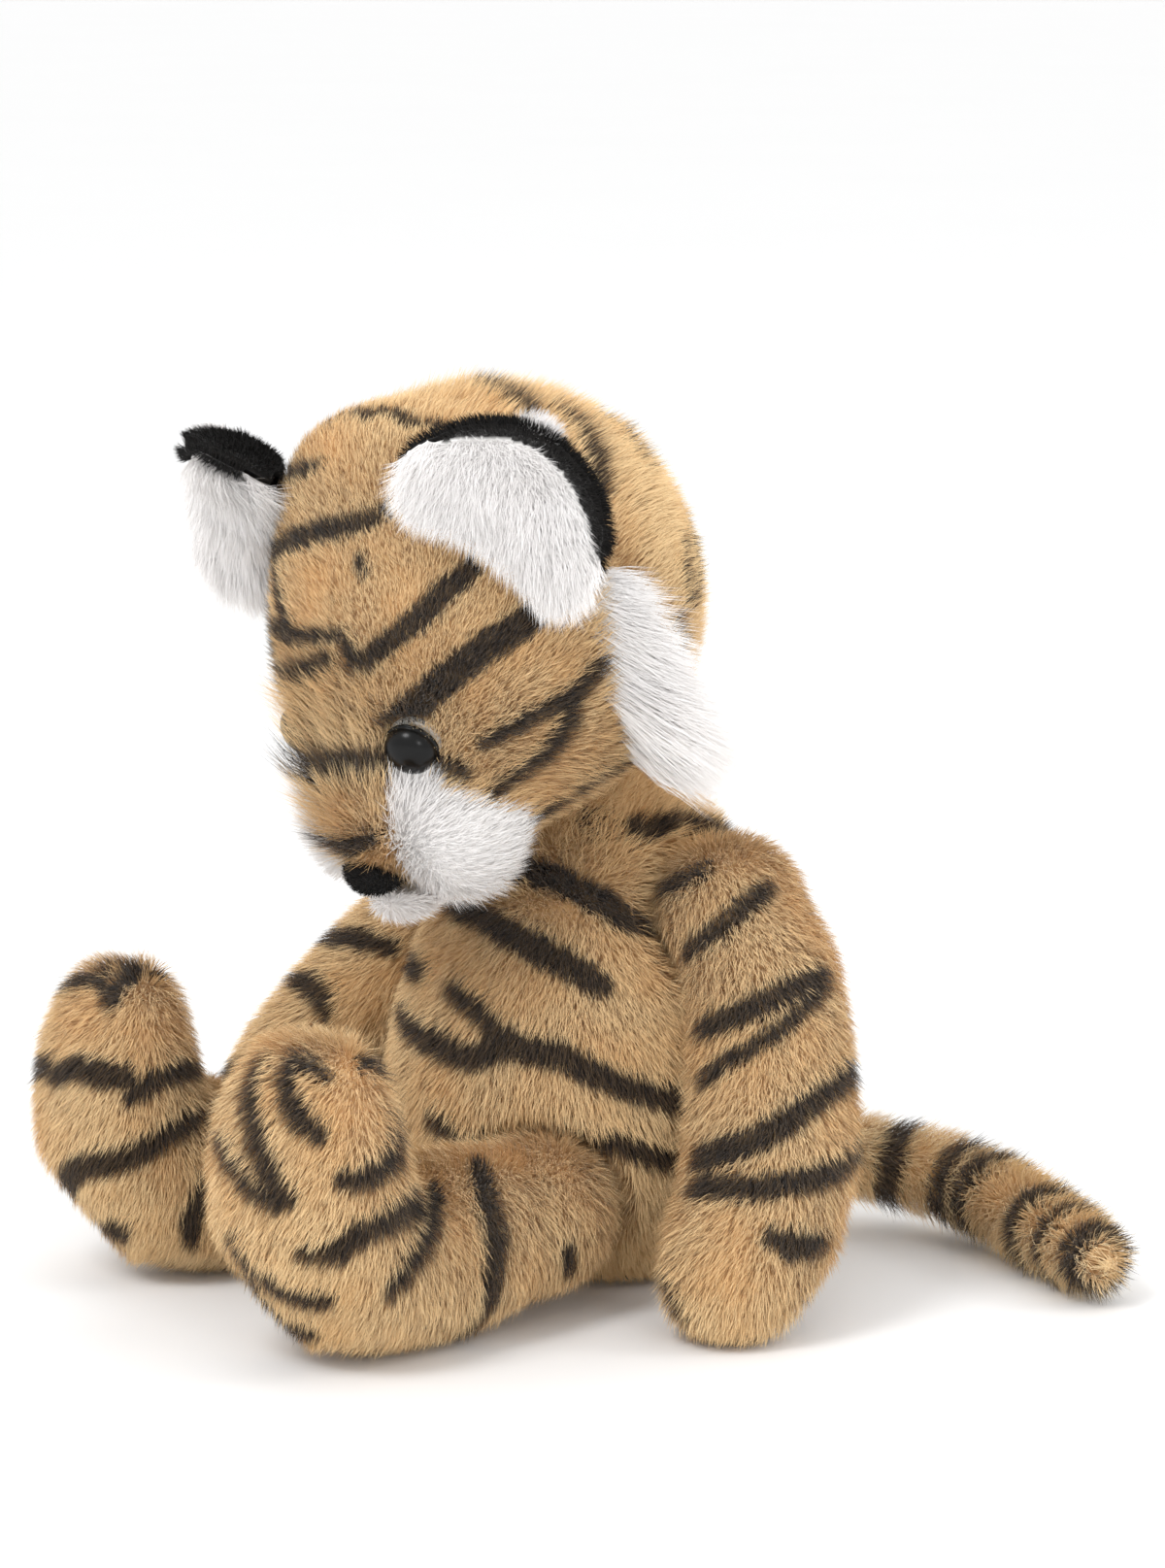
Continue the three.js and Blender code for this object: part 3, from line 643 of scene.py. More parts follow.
def strand_ways(g, seed, outward):
    """The way each strand points: combed over, raised, and strayed in tufts, in locks and alone."""
    tuft = g.vector("SCALE", g.waves(0.012, 3.1), 1.2)
    lock = g.vector("SCALE", g.waves(0.005, 7.7), 0.9)
    loose = g.vector("SCALE", g.vector("ADD", tuft, lock), g.value["Tousle"])
    reach = {0: (-1.0, -1.0, -1.0), 1: (1.0, 1.0, 1.0), "Seed": g.math("ADD", seed, 3.0)}
    stray = g.add("FunctionNodeRandomValue", reach, data_type="FLOAT_VECTOR")
    loose = g.vector("ADD", loose, g.vector("SCALE", stray, g.value["Stray"]))
    way = g.vector("ADD", g.named("comb", "FLOAT_VECTOR"), loose)
    rise = g.math("MULTIPLY", g.value["Rise"], g.random(0.55, 1.45, seed))
    return g.vector("ADD", way, g.vector("SCALE", outward, rise))


def strand_tree():
    """Strands of pile on a backing. Each is a blade of three faces that rises from its root and
    bends over the way the attribute comb points; the attribute pile shortens it."""
    g = Nodes("pile_of_strands", [
        ("Density", "NodeSocketFloat", 1e6),
        ("Length", "NodeSocketFloat", 0.009),
        ("Width", "NodeSocketFloat", 0.0003),
        ("Rise", "NodeSocketFloat", 0.95),
        ("Tousle", "NodeSocketFloat", 0.6),
        ("Stray", "NodeSocketFloat", 0.3),
        ("Bow", "NodeSocketFloat", 0.12),
        ("Seed", "NodeSocketInt", 1),
        ("Material", "NodeSocketMaterial", None),
    ])
    seed = g.value["Seed"]
    spread = {"Mesh": g.value["Geometry"], "Density": g.value["Density"], "Seed": seed}
    roots = g.add("GeometryNodeDistributePointsOnFaces", spread)
    points = g.stored(roots, "outward", roots.outputs["Normal"], "FLOAT_VECTOR")
    outward = g.named("outward", "FLOAT_VECTOR")
    aim = {0: strand_ways(g, seed, outward), 1: outward}
    turn = g.add("FunctionNodeAxesToRotation", aim, primary_axis="Z", secondary_axis="Y")
    twist = g.random(-0.7, 0.7, g.math("ADD", seed, 1.0))
    spin = g.add("FunctionNodeEulerToRotation", {0: g.xyz(0.0, 0.0, twist)})
    turn = g.add("FunctionNodeRotateRotation", {0: turn, 1: spin}, rotation_space="LOCAL")
    length = g.math("MULTIPLY", g.value["Length"], g.named("pile"))
    length = g.math("MULTIPLY", length, g.random(0.7, 1.12, g.math("ADD", seed, 2.0)))
    size = g.xyz(g.value["Width"], length, length)
    grown = {"Points": points, "Instance": unit_blade(g), "Rotation": turn, "Scale": size}
    real = g.add("GeometryNodeRealizeInstances", {0: g.add("GeometryNodeInstanceOnPoints", grown)})
    # Strands take the light more as the skin under them faces than as each of them does
    own = g.vector("SCALE", g.add("GeometryNodeInputNormal"), 0.25)
    soft = g.vector("NORMALIZE", g.vector("ADD", own, g.vector("SCALE", outward, 0.75)))
    facing = {"Mesh": real, "Custom Normal": soft}
    real = g.add("GeometryNodeSetMeshNormal", facing, mode="FREE", domain="POINT")
    g.feed(g.end, g.add("GeometryNodeSetMaterial", {"Geometry": real, "Material": g.value["Material"]}))
    return g.tree


STRANDS = strand_tree()
STRAND_POINTS = 5  # two at the root, two in the middle and the tip
TIP = 2
MIDDLES = [1, 4]
ROOTS = [0, 3]
SEEN_REACH = 6.0  # mm up a strand, where its colour is taken from the stripes


def set_input(modifier, label, value):
    for item in modifier.node_group.interface.items_tree:
        if item.item_type == "SOCKET" and item.in_out == "INPUT" and item.name == label:
            modifier[item.identifier] = value


def grow(name, body, form, comb, pile, seed, stripes=(), slot="tan_fur", finish=None, keep=None,
         pale=None, **sizes):
    """Grows pile on a form as one plain mesh that rides a body. comb and pile hold one value for
    each point of the form, or pile one for all of them. keep says which of its points get pile and
    pale where it is white."""
    pile = np.broadcast_to(pile, len(form.co))
    bed = linked(name + "_bed", form.obj.data.copy())
    bed.data.materials.clear()
    put(bed.data, "comb", comb, "FLOAT_VECTOR")
    put(bed.data, "pile", pile)
    grows = pile > 0 if keep is None else (pile > 0) & keep
    if not grows.all():
        cut = bmesh.new()
        cut.from_mesh(bed.data)
        gone = [f for f in cut.faces if not all(grows[v.index] for v in f.verts)]
        bmesh.ops.delete(cut, geom=gone, context="FACES")
        cut.to_mesh(bed.data)
        cut.free()
    modifier = bed.modifiers.new("strands", "NODES")
    modifier.node_group = STRANDS
    values = {"Density": DENSITY * 1e6, "Length": PILE * MM, "Width": STRAND_WIDTH * MM}
    values.update({"Seed": seed, "Material": finish or FURS[slot]}, **sizes)
    for label, value in values.items():
        set_input(modifier, label, value)
    mesh = evaluated_mesh(bed)
    drop(bed)
    mesh.name = name
    fur = linked(name, mesh)
    finish_strands(mesh, stripes, pale, seed)
    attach(fur, body)


def grow_quarters(names, body, form, front, left, comb, pile, seed, stripes, pale=None):
    """Grows pile in four pieces: left and right in front, left and right behind."""
    quarters = (front & left, front & ~left, ~front & left, ~front & ~left)
    for seed, (name, part) in enumerate(zip(names, quarters), seed):
        grow(name, body, form, comb, pile, seed, stripes, keep=grown_by_one(form, part), pale=pale)


def finish_strands(mesh, stripes, pale, seed):
    """Keeps the strands above the floor and gives each its tone and its colour."""
    co = read(mesh.vertices, "co").reshape(-1, STRAND_POINTS, 3)
    co[:, :, 2] = np.maximum(co[:, :, 2], FLOOR_GAP * MM)
    set_places(mesh, co)
    chance = np.random.default_rng(seed)
    count = len(co)
    put(mesh, "tone", np.repeat(chance.random(count), STRAND_POINTS))
    root = co[:, ROOTS].mean(1)
    seen = 0.5 * co[:, TIP] + 0.5 * co[:, MIDDLES].mean(1) - root
    reach = np.linalg.norm(seen, axis=1, keepdims=True)
    seen = root + seen * np.minimum(1, SEEN_REACH * MM / np.maximum(reach, 1e-6))
    dark = darkness(seen, stripes, chance) if len(stripes) else np.zeros(count)
    put(mesh, "dark", np.repeat(dark, STRAND_POINTS))
    if pale:
        ragged = seen + PATCH_RAGGED * MM * chance.normal(size=seen.shape)
        put(mesh, "pale", np.repeat(pale(ragged), STRAND_POINTS))
    mesh.update()


def beyond(points, lines, far=9.0):
    """How many mm each point lies outside the nearest of some lines, which have half-widths."""
    best = np.full(len(points), far)
    for line in lines:
        line = np.asarray(line) * [1000, 1000, 1000, 1]  # metres to mm
        low, high = line[:, :3].min(0) - far, line[:, :3].max(0) + far
        near = np.flatnonzero(((points > low) & (points < high)).all(1))
        for a, b in zip(line[:-1], line[1:]):
            run = b[:3] - a[:3]
            t = np.clip((points[near] - a[:3]) @ run / max(run @ run, 1e-9), 0, 1)
            gap = np.linalg.norm(points[near] - a[:3] - t[:, None] * run, axis=1)
            best[near] = np.minimum(best[near], gap - a[3] - t * (b[3] - a[3]))
    return best


def darkness(points, stripes, chance):
    """1 in a stripe and 0 between them, with an edge that wavers from strand to strand."""
    p = points / MM
    waver = 0.6 * np.sin(p @ [1.1, 0.7, 0.9]) * np.sin(p @ [-0.8, 1.3, 0.5] + 1)
    waver += STRIPE_RAGGED * chance.normal(size=len(p))
    return np.clip(0.5 - (beyond(p, stripes) - STRIPE_BLEED + waver) / STRIPE_EDGE, 0, 1)


def laid_stripes(form, ray, stripes, steps=3):
    """Stripes as lines of (x, y, z in metres, half-width in mm) on a form's surface."""
    laid = []
    for stripe in stripes:
        rows = np.array(stripe, float)
        shares = rows[:, :2].max() < 2  # then the first column isn't an angle, which runs on past 180
        for column in (1,) if shares else (0, 1):
            rows[:, column] = np.degrees(np.unwrap(np.radians(rows[:, column])))
        ends = np.arange(len(rows))
        fine = np.linspace(0, len(rows) - 1, steps * (len(rows) - 1) + 1)
        places = np.stack([np.interp(fine, ends, rows[:, k]) for k in range(3)], 1)
        laid.append([[*form.on_pile(ray, u, v), width] for u, v, width in places])
    return laid


def combed(form, way):
    """way is one vector, or one for each point, laid down along the surface."""
    way = np.broadcast_to(np.asarray(way, float), form.co.shape)
    flat = way - form.normal * (way * form.normal).sum(1, keepdims=True)
    size = np.linalg.norm(flat, axis=1, keepdims=True)
    return flat / np.maximum(size, COMB_LEAST)


def nearest_way(form, spine, steps=60):
    """For each point of a form, the way its spine runs there."""
    shares = np.linspace(0, 1, steps)
    middles = np.array([spline(spine, s) for s in shares]) * MM
    ways = np.array([along(spine, s) for s in shares])
    gap = np.linalg.norm(form.co[:, None] - middles[None], axis=2)
    return ways[gap.argmin(1)]


def fade(value, low, high):
    t = np.clip((value - low) / (high - low), 0, 1)
    return t * t * (3 - 2 * t)


def crowded(form, others, least=0.45, near=2.0, far=8.0):
    """Pile of full length where a form is clear of its neighbours, shorter where they press on
    it, and none where one goes into another or the neck is."""
    clear = np.min([other.clearance(form.co) for other in others], 0) / MM
    pile = least + (1 - least) * fade(clear, near, far)
    pile[clear < -SUNK] = 0
    to_neck = NECK - form.co / MM
    far_off = np.linalg.norm(to_neck, axis=1)
    faces_neck = (form.normal * to_neck).sum(1) > 0.5 * far_off
    pile[faces_neck & (far_off < NECK_RADIUS + NECK_ROOM)] = 0
    return pile


# Bodies

def dressed(form, body, *nodes, slot="tan_fur", finish=None, fill=0.8, stripes=(), dark=None,
            pale=None):
    """Puts a stuffed form's backing on its body."""
    mesh = form.obj.data
    mesh.materials.append(finish or FURS[slot])
    chance = np.random.default_rng(SEEDS["backing"])
    put(mesh, "tone", chance.random(len(form.co)))
    # The backing takes the colour near the strands' root, with its painted shade
    put(mesh, "along", np.full(len(form.co), BACKING_ALONG))
    over = form.co + form.normal * BACKING_DEPTH * MM
    if dark is None:
        dark = darkness(over, stripes, chance) if len(stripes) else np.zeros(len(over))
    put(mesh, "dark", dark)
    if pale:
        put(mesh, "pale", pale(over))
    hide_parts(*nodes)
    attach(form.obj, body)


torso = backing("torso_backing", ["torso_skin", "torso_filling"])
head = backing("head_backing", ["head_skin", "head_filling", "muzzle_left", "muzzle_right"])
arms = {s: backing(f"arm_backing_{s}", [f"arm_skin_{s}", f"arm_filling_{s}"]) for s in SIDES}
legs = {s: backing(f"leg_backing_{s}", [f"leg_skin_{s}", f"leg_filling_{s}", f"sole_{s}"]) for s in SIDES}
tail = backing("tail_backing", ["tail_skin", "tail_filling"], cell=2.0)
chin = backing("chin_backing", ["chin"], cell=1.4, rounds=5, depth=3.2)


def dress_torso():
    stripes = laid_stripes(torso, torso_ray, TORSO_STRIPES)
    pile = crowded(torso, [*arms.values(), *legs.values(), head, tail])
    comb = combed(torso, (0, 0.3, -1))
    # Around the neck the pile stands up and hides the ball
    off_neck = np.linalg.norm(torso.co / MM - NECK, axis=1)
    collar = 1 - fade(off_neck, *(NECK_RADIUS + width for width in COLLAR))
    pile[pile > 0] = np.maximum(pile, COLLAR_PILE * collar)[pile > 0]
    comb += collar[:, None] * combed(torso, (0, 0, 2))
    names = [f"torso_fur_{end}_{side}" for end in ("front", "back") for side in SIDES]
    front, left = torso.co[:, 1] < TORSO_SEAM * MM, torso.co[:, 0] > 0
    grow_quarters(names, "torso", torso, front, left, comb, pile, SEEDS["torso"], stripes)
    dressed(torso, "torso", "torso_skin", "torso_filling", "seat_pellet_bag", stripes=stripes)


def grown_by_one(form, part):
    """A part of a form's points and their neighbours, so that no face between two parts is bare."""
    wide = part.copy()
    for a, b in read(form.obj.data.edges, "vertices", 2, np.int32).astype(int):
        if part[a] or part[b]:
            wide[a] = wide[b] = True
    return wide


def dress_arm(side):
    form, body = arms[side], f"arm_{side}"
    spine = arm_spine(side)
    ray = limb_ray(spine, [SIDES[side], 0, 0], SIDES[side])
    stripes = laid_stripes(form, ray, ARM_STRIPES if side == "left" else RIGHT_ARM_STRIPES)
    pile = crowded(form, [torso, *legs.values()])
    comb = combed(form, nearest_way(form, spine))
    grow(f"arm_fur_{side}", body, form, comb, pile, SEEDS["arm"] + SIDES[side], stripes)
    dressed(form, body, f"arm_skin_{side}", f"arm_filling_{side}", stripes=stripes)


def dress_leg(side):
    form, body = legs[side], f"leg_{side}"
    ray = limb_ray(leg_spine(side), splayed([SIDES[side], 0, 0], side), SIDES[side])
    stripes = laid_stripes(form, ray, LEFT_LEG_STRIPES if side == "left" else RIGHT_LEG_STRIPES)
    stripes = [[[*place, width + LEG_STRIPE_BLEED] for *place, width in line] for line in stripes]
    pile = crowded(form, [torso, *arms.values()])
    comb = combed(form, (0, -0.5, -1))
    foot = form.co[:, 1] < ANKLE * MM
    for name, part in (("foot_fur", foot), ("leg_fur", ~foot)):
        part = grown_by_one(form, part)
        grow(f"{name}_{side}", body, form, comb, pile, SEEDS[name] + SIDES[side], stripes, keep=part)
    dressed(form, body, f"leg_skin_{side}", f"leg_filling_{side}", f"sole_{side}", stripes=stripes)


def dress_tail():
    spine = tail_spine()
    ray = limb_ray(spine, [0, 0, 1], 1)
    turns = range(0, 361, 30)
    stripes = [[[*tail.on_pile(ray, u, v), w] for v in turns] for u, w in TAIL_RINGS]
    pile = crowded(tail, [torso])
    comb = combed(tail, nearest_way(tail, spine))
    # The tail wears the tan painted lighter, as painted light
    grow("tail_fur", "tail", tail, comb, pile, SEEDS["tail"], stripes, finish=PAINTED_LIGHT_TAN_FUR,
         Length=TAIL_HAIR * MM, Rise=1.1, Tousle=0.9)
    dressed(tail, "tail", "tail_skin", "tail_filling", stripes=stripes)


def within(x, y, outline):
    """Which of the points lie inside a closed outline."""
    inside = np.zeros(len(x), bool)
    for (xa, ya), (xb, yb) in zip(outline, outline[1:] + outline[:1]):
        if ya != yb:
            inside ^= ((y > ya) != (y > yb)) & (x < xa + (y - ya) / (yb - ya) * (xb - xa))
    return inside


def from_skull(points):
    """Points in metres, as mm from the middle of the skull in the head's own frame."""
    return (points / MM - (NECK + HEAD_TURNED @ SKULL)) @ HEAD_TURNED


def in_muzzle_patch(points):
    """Where the head's pile is white, for points in metres."""
    x, y, z = from_skull(points).T
    around = np.degrees(np.arctan2(np.abs(x), -y))
    up = np.degrees(np.arcsin(z / np.sqrt(x * x + y * y + z * z)))
    return within(around, up, MUZZLE_PATCH)


def ruff_rows(side):
    rows = np.array([[root, tip] for root, tip in RUFF_ROWS], float)
    rows[:, :, 0] *= SIDES[side]
    return rows[:, 0], rows[:, 1]


def ruff_hair(inward, roots, tips):
    """For each point, given from the middle of the skull: the way and length of the hair of the
    nearest rows, how far along its run the point lies and how far beside the rows."""
    way, share, length, total = np.zeros_like(inward), *np.zeros((3, len(inward)))
    for root, tip in zip(roots, tips):
        run = tip - root
        t = (inward - root) @ run / (run @ run)
        gap = np.linalg.norm(inward - root - np.clip(t, 0, 1)[:, None] * run, axis=1)
        weight = 1 / (gap + 2) ** 3
        way += weight[:, None] * unit(run)
        share += weight * t
        length += weight * np.linalg.norm(run)
        total += weight
    # The root line lies a little above the backing, so it's compared at its own distance
    level = np.interp(inward[:, 2], *RUFF_LEVELS)[:, None] * unit(inward)
    beside = np.linalg.norm(level - strip_root(level, roots), axis=1)
    return unit(unit(way) + RUFF_DROOP), length / total, share / total, beside


def head_stripes():
    stripes = laid_stripes(head, head_ray, CROWN_STRIPES)
    for hand in (1, -1):
        # On the right they stop short of the middle, where the crown's own stripes run on
        least = 0 if hand > 0 else 24
        mirrored = [[(hand * a, u, w) for a, u, w in line if a > least] for line in FACE_SIDE_STRIPES]
        stripes += laid_stripes(head, head_ray, mirrored)
    return stripes


def head_lengths(inward):
    """How the head's pile differs in length, for points from the middle of the skull: longer on the
    bridge of the nose and behind, shorter on the crown, and high beside the right eye. The bounds
    are mm."""
    x, y, z = inward.T
    off_eye = np.linalg.norm(np.column_stack([np.abs(x), y, z]) - EYE_WAY, axis=1)
    bridge = (1 - fade(np.abs(x), 16, 28)) * fade(-y, 40, 52) * fade(z, -24, -14) * (1 - fade(z, 20, 38))
    low_nape = fade(y, 15, 45) * (1 - fade(z, -5, 20))
    behind = fade(y, 5, 35)
    crown = fade(z, 10, 35) * (1 - behind)
    flank = np.exp(-((x + 12) / 5) ** 2) * fade(-y, 44, 52) * fade(z, -12, -2) * (1 - fade(z, 15, 26))
    longer = 1 + 0.8 * bridge * fade(off_eye, 8.5, 12) + 0.15 * low_nape + 0.5 * behind * fade(z, -5, 20)
    return longer * (1 - 0.4 * crown) * (1 + 0.75 * flank)


def dress_head():
    stripes = head_stripes()
    seam_pair = [[(hand * a, u, w) for a, u, w in GUSSET_SEAM] for hand in (1, -1)]
    off_seam = beyond(head.co / MM, laid_stripes(head, head_ray, seam_pair))
    pressed = 1 - SEAM_PRESS * np.exp(-(off_seam / SEAM_WIDTH) ** 2)
    inward = from_skull(head.co)
    pile = np.minimum(crowded(head, [torso]), crowded(head, [chin], 0.8)) * pressed * head_lengths(inward)
    from_nose = unit(inward - NOSE_TIP)
    from_nose[:, 2] -= 0.9 * fade(inward[:, 1], 0, 45)
    comb = combed(head, from_nose @ HEAD_TURNED.T)
    for side in SIDES:
        way, length, share, beside = ruff_hair(inward, *ruff_rows(side))
        under = fade(share, 0.02, 0.2) * (1 - fade(share, 0.6, 0.9)) * (1 - fade(beside, 10, 16))
        pile *= 1 - 0.75 * under
        grow(f"ruff_fur_{side}", "head", head, way @ HEAD_TURNED.T, RUFF_HAIR * length,
             SEEDS["ruff"] + SIDES[side], slot="white_fur", keep=beside < RUFF_ROOT_WIDTH,
             Length=1 * MM, Width=0.25 * MM, Rise=0.15, Tousle=0.45, Stray=0.25, Density=13e6)
    names = [f"{part}_fur_{side}" for part in ("face", "nape") for side in SIDES]
    front, left = inward[:, 1] < 0, inward[:, 0] >= 0
    grow_quarters(names, "head", head, front, left, comb, pile, SEEDS["head"], stripes, in_muzzle_patch)
    dressed(head, "head", "head_skin", "head_filling", stripes=stripes, pale=in_muzzle_patch)


def dress_muzzle():
    """The pads stuff the muzzle out from behind the head's own pile; the chin is a tuft below."""
    for side in SIDES:
        pad = backing(f"muzzle_pad_{side}", [f"muzzle_{side}"], cell=1.6, rounds=6, depth=3)
        middle = pad.co.mean(0)
        sink = PAD_SINK * MM * unit(middle - on_head(np.zeros(3)) * MM)
        set_places(pad.obj.data, middle + PAD_SHARE * (pad.co - middle) - sink)
        dressed(pad, "head", f"muzzle_{side}", slot="white_fur")
    comb = combed(chin, HEAD_TURNED @ np.array([0, 1, -0.5]))
    pile = crowded(chin, [head], 0.9)
    grow("chin_fur", "head", chin, comb, pile, SEEDS["chin"], slot="white_fur",
         Length=5 * MM, Rise=0.7, Density=4e6)
    dressed(chin, "head", "chin", slot="white_fur")


def dress_neck():
    form = backing("neck_backing", ["neck_filling"], cell=2.0, rounds=4, depth=1.0)
    dressed(form, "neck", "neck_filling")


def ear_frame(side):
    hand = SIDES[side]
    turn = HEAD_TURNED @ rotation("Y", hand * EAR_ROLL[side]) @ rotation("X", -EAR_LEAN[side])
    return on_head(np.array([hand * EAR_PLACE[0], *EAR_PLACE[1:]])), turn


def ear_places(form, side, root, turn):
    """A form's points in mm in the ear's own frame, and how far outward and up each lies from the
    middle of its disc."""
    place = (form.co / MM - root) @ turn
    return place, place[:, 0] * SIDES[side], place[:, 2] - EAR_MIDDLE


def fold_ear(form, side, root, turn):
    """Draws the inner top of an ear toward its middle, where it folds in to the head, and pulls
    its outer edge out."""
    place, across, up = ear_places(form, side, root, turn)
    angle = np.degrees(np.arctan2(up, across))
    drawn = 1 - EAR_FOLD[side] * fade(angle, 30, 90) * (1 - fade(angle, 160, 180))
    place[:, 0] = place[:, 0] * drawn + SIDES[side] * EAR_SPREAD[side] * fade(across, -5, 24)
    place[:, 2] = EAR_MIDDLE + up * drawn
    form.co = (root + place @ turn.T) * MM
    set_places(form.obj.data, form.co)
    form.obj.data.update()


def line_ear(side, lining, root, turn):
    """Grows the long white pile of an ear's front and the black of its upper edge, and says where
    the edge is black."""
    body, seed = f"ear_{side}", SEEDS["ear"] + SIDES[side]
    front = turn @ [0, -1, 0]
    _, across, up = ear_places(lining, side, root, turn)
    # The black back wraps around the upper edge; below that the white lining reaches the edge
    out_share, up_share, from_edge, everywhere = EAR_TOP[side]
    upward = across * out_share + up * up_share
    at_edge = (across / EAR_DISC[0]) ** 2 + (up / EAR_DISC[1]) ** 2 > 1
    black = (upward > from_edge) & at_edge | (upward > everywhere)
    hairy = lining.normal @ front > -0.3
    away = combed(lining, unit(lining.co / MM - ear_part(root, turn) + 5 * front))
    outward = 0.9 * away * fade(np.hypot(across, up), 4, 24)[:, None]
    outward = outward + combed(lining, turn @ [0.4 * SIDES[side], 0, -0.3])
    grow(f"ear_fur_{side}", body, lining, outward, 1 - 0.45 * fade(upward, 2, 18), seed,
         slot="white_fur", keep=~black & hairy, Length=EAR_HAIR[side] * MM, Rise=0.9, Tousle=0.9,
         Stray=0.5, Density=9e6, Width=0.2 * MM)
    grow(f"ear_rim_{side}", body, lining, away, 1, seed, slot="black_plush",
         keep=black, Length=4 * MM, Rise=1.2, Density=5e6)
    return black


def back_ear(side, back, root, turn):
    """Stuffs an ear's back out and grows its black velvet."""
    front = turn @ [0, -1, 0]
    place, across, up = ear_places(back, side, root, turn)
    inside = 1 - (place[:, 0] / EAR_BACK_REACH[0]) ** 2 - (up / EAR_BACK_REACH[1]) ** 2
    behind = fade(-(back.normal @ front), -0.2, 0.6)
    puff = EAR_PUFF[side] * np.clip(inside, 0, 1) ** 0.5 * behind
    back.co = back.co - puff[:, None] * front * MM
    set_places(back.obj.data, back.co)
    away = combed(back, unit(back.co / MM - ear_part(root, turn)))
    out_share, up_share, from_edge, _ = EAR_TOP[side]
    upper = across * out_share + up * up_share > from_edge
    velvet = back.normal @ front < np.where(upper, 0.6, -0.2)
    grow(f"ear_velvet_{side}", f"ear_{side}", back, away, 1,
         SEEDS["ear"] + SIDES[side], slot="black_plush", keep=velvet,
         Length=4 * MM, Rise=1.2, Density=4.5e6)


def ear_part(root, turn):
    """The place that an ear's pile parts from."""
    return root + turn @ [0, 0, EAR_MIDDLE + 2]


def dress_ear(side):
    root, turn = ear_frame(side)
    body = f"ear_{side}"
    lining = backing(f"ear_lining_{side}", [f"ear_front_{side}"], cell=1.2, rounds=4, depth=0.8)
    back = backing(f"ear_back_cloth_{side}", [f"ear_back_{side}"], cell=1.2, rounds=4, depth=0.2)
    spot = backing(f"ear_spot_cloth_{side}", [f"ear_spot_{side}"], cell=1.0, rounds=3, depth=0.2)
    for form in (lining, back, spot):
        fold_ear(form, side, root, turn)
    black = line_ear(side, lining, root, turn)
    back_ear(side, back, root, turn)
    grow(f"ear_spot_fur_{side}", body, spot, combed(spot, turn @ [0, 0, 1]), 1,
         SEEDS["ear"] + SIDES[side], slot="white_fur", Length=5 * MM, Rise=1.2, Density=4e6)
    dressed(lining, body, f"ear_front_{side}", slot="white_fur", finish=LINING_CLOTH, fill=0.3,
            dark=1.0 * black)
    dressed(back, body, f"ear_back_{side}", slot="black_plush", fill=0.3)
    dressed(spot, body, f"ear_spot_{side}", slot="white_fur", fill=0.3)


def strip_root(points, roots):
    """For each point, the nearest place on the line that joins the roots of the rows."""
    best, place = np.full(len(points), np.inf), np.zeros_like(points)
    for a, b in zip(roots[:-1], roots[1:]):
        run = b - a
        t = np.clip((points - a) @ run / (run @ run), 0, 1)
        spot = a + t[:, None] * run
        gap = np.linalg.norm(points - spot, axis=1)
        nearer = gap < best
        best[nearer], place[nearer] = gap[nearer], spot[nearer]
    return place


def dress_ruff(side):
    """The cloth that carries a ruff's hair, only a strip along its root, sunk in the head's pile."""
    form = backing(f"ruff_cloth_{side}", [f"cheek_ruff_{side}"], cell=1.4, rounds=4, depth=1.4)
    inward = from_skull(form.co)
    root = strip_root(inward, ruff_rows(side)[0])
    drawn = root + STRIP_SHARE * (inward - root)
    drawn -= STRIP_SINK * unit(drawn)
    set_places(form.obj.data, (NECK + (drawn + SKULL) @ HEAD_TURNED.T) * MM)
    dressed(form, "head", f"cheek_ruff_{side}", slot="white_fur", fill=0.3)


def dress_nose():
    form = backing("nose_cloth", ["nose"], cell=0.9, rounds=3, depth=0.8)
    form.co += HEAD_TURNED @ NOSE_LIFT * MM
    set_places(form.obj.data, form.co)
    comb = combed(form, HEAD_TURNED @ [0, 0.4, 1])
    grow("nose_velvet", "head", form, comb, 1, SEEDS["nose"],
         slot="black_plush", Length=2 * MM, Rise=1.4, Density=7e6)
    dressed(form, "head", "nose", slot="black_plush", fill=0.9)


def turned_profile(name, profile, rings=48):
    """A closed turned body. profile holds (radius, height) in mm from axis to axis."""
    shape = bmesh.new()
    rows = []
    for radius, height in profile:
        spokes = rings if radius > 0 else 1
        angles = [2 * math.pi * k / rings for k in range(spokes)]
        rows.append([
            shape.verts.new((radius * MM * math.cos(a), radius * MM * math.sin(a), height * MM))
            for a in angles])
    for a, b in zip(rows[:-1], rows[1:]):
        for k in range(rings):
            corners = [a[k % len(a)], a[(k + 1) % len(a)], b[(k + 1) % len(b)], b[k % len(b)]]
            shape.faces.new(list(dict.fromkeys(corners)))
    bmesh.ops.recalc_face_normals(shape, faces=shape.faces)
    mesh = bpy.data.meshes.new(name)
    shape.to_mesh(mesh)
    shape.free()
    shade_smooth(mesh)
    return linked(name, mesh)


def eye_profile():
    """A dome on a thin collar, from the top down, with the top at height 0."""
    radius, rise = EYE / 2, EYE * EYE_RISE
    angles = [math.radians(a) for a in range(6, 91, 6)]
    dome = [(radius * math.sin(a), rise * math.cos(a) - rise) for a in angles]
    collar = [(0.1, 0.15), (0.4, 0.25), (0.5, 0.6), (0.4, 1.0)]
    return [(0, 0)] + dome + [(radius + out, -rise - down) for out, down in collar] + [(0, -rise - 1.2)]


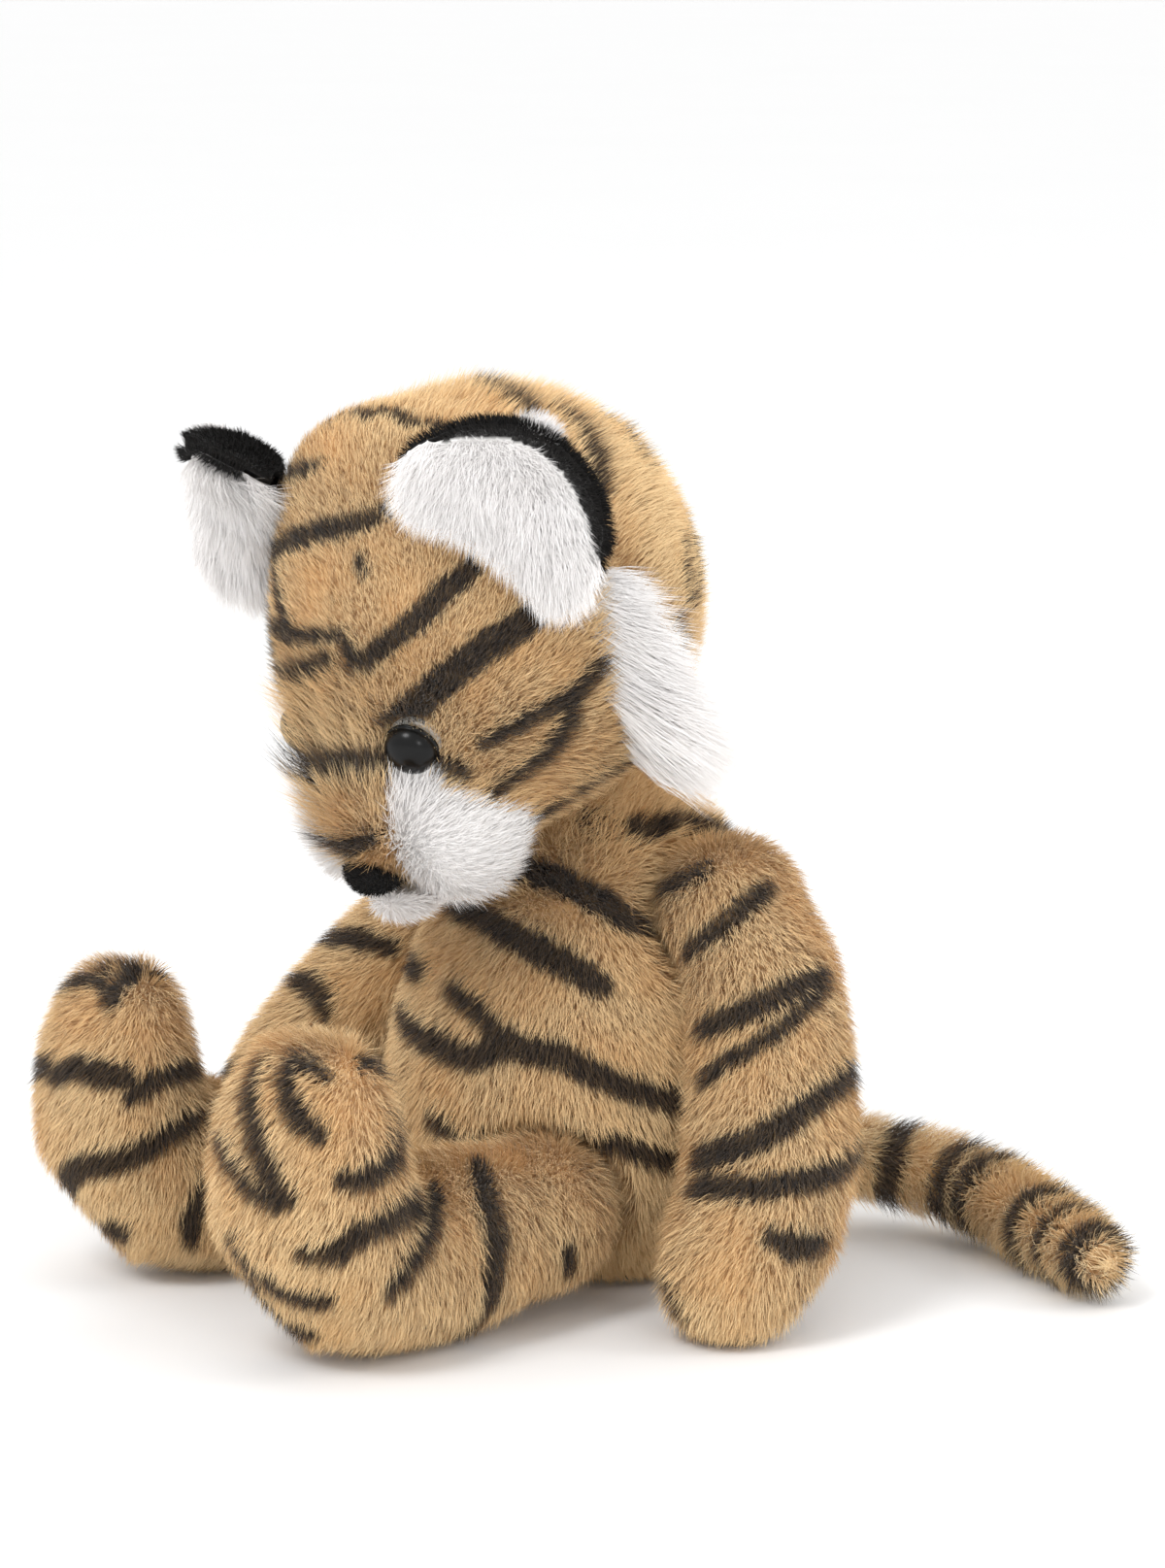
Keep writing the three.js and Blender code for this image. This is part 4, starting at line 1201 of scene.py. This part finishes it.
def set_eye(side):
    """A safety eye, where the solid one sits, with its top at the same height."""
    solid = joined_copy([f"eye_{side}"])
    co = read(solid.vertices, "co")
    bpy.data.meshes.remove(solid)
    way = HEAD_TURNED @ unit([SIDES[side] * EYE_WAY[0], *EYE_WAY[1:]])
    height = co @ way / MM
    radial = co / MM - height[:, None] * way
    centre = (radial.min(0) + radial.max(0)) / 2
    seat = Matrix.Translation(Vector((centre + way * height.max()) * MM))
    eye = turned_profile(f"eye_dome_{side}", eye_profile())
    eye.data.transform(seat @ Vector(way).to_track_quat("Z", "Y").to_matrix().to_4x4())
    eye.data.materials.append(EYE_PLASTIC)
    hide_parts(f"eye_{side}")
    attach(eye, "head")


def finish_washers():
    for side in SIDES:
        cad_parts[f"eye_washer_{side}"].material_slots[0].material = WASHER_PLASTIC


dress_torso()
for side in SIDES:
    dress_arm(side)
    dress_leg(side)
dress_tail()
dress_head()
dress_muzzle()
dress_neck()
for side in SIDES:
    dress_ear(side)
    dress_ruff(side)
    set_eye(side)
dress_nose()
finish_washers()


# Studio

def studio():
    bpy.ops.mesh.primitive_plane_add(size=80)
    floor = bpy.context.object
    floor.name = "floor"
    floor.location = (0, 0, -0.0002)  # just under the toy
    paper = clouded("floor_paper", 3, (0.94, 0.94, 0.94, 1), (0.96, 0.96, 0.96, 1), 0.6)
    floor.data.materials.append(paper)
    world = bpy.data.worlds.new("studio")
    bpy.context.scene.world = world
    world.use_nodes = True
    background = world.node_tree.nodes["Background"]
    background.inputs["Color"].default_value = (1, 1, 1, 1)
    background.inputs["Strength"].default_value = ROOM_LIGHT
    bpy.context.scene.view_settings.view_transform = "Standard"


def camera():
    data = bpy.data.cameras.new("camera")
    data.lens = 120.4
    data.sensor_width = 36
    data.sensor_fit = "VERTICAL"
    data.sensor_height = 36
    cam = linked("camera", data)
    az, el = (math.radians(angle) for angle in CAMERA_ANGLES)
    back = Vector((math.sin(az) * math.cos(el), -math.cos(az) * math.cos(el), math.sin(el)))
    cam.location = Vector(CAMERA_TARGET) + back * CAMERA_DISTANCE
    cam.rotation_euler = back.to_track_quat("Z", "Y").to_euler()
    bpy.context.scene.camera = cam


def light(name, place, size, power):
    data = bpy.data.lights.new(name, "AREA")
    data.shape = "DISK"
    data.size = size
    data.energy = power
    lamp = linked(name, data)
    lamp.location = place
    lamp.rotation_euler = (Vector(place) - Vector(LAMP_AIM)).to_track_quat("Z", "Y").to_euler()


studio()
camera()
light("key", (0.5, -1.5, 1.9), 0.8, 22)
light("fill", (2.1, -0.3, 0.8), 0.5, 5)
light("back", (1.5, 1.5, 1.5), 0.8, 8)
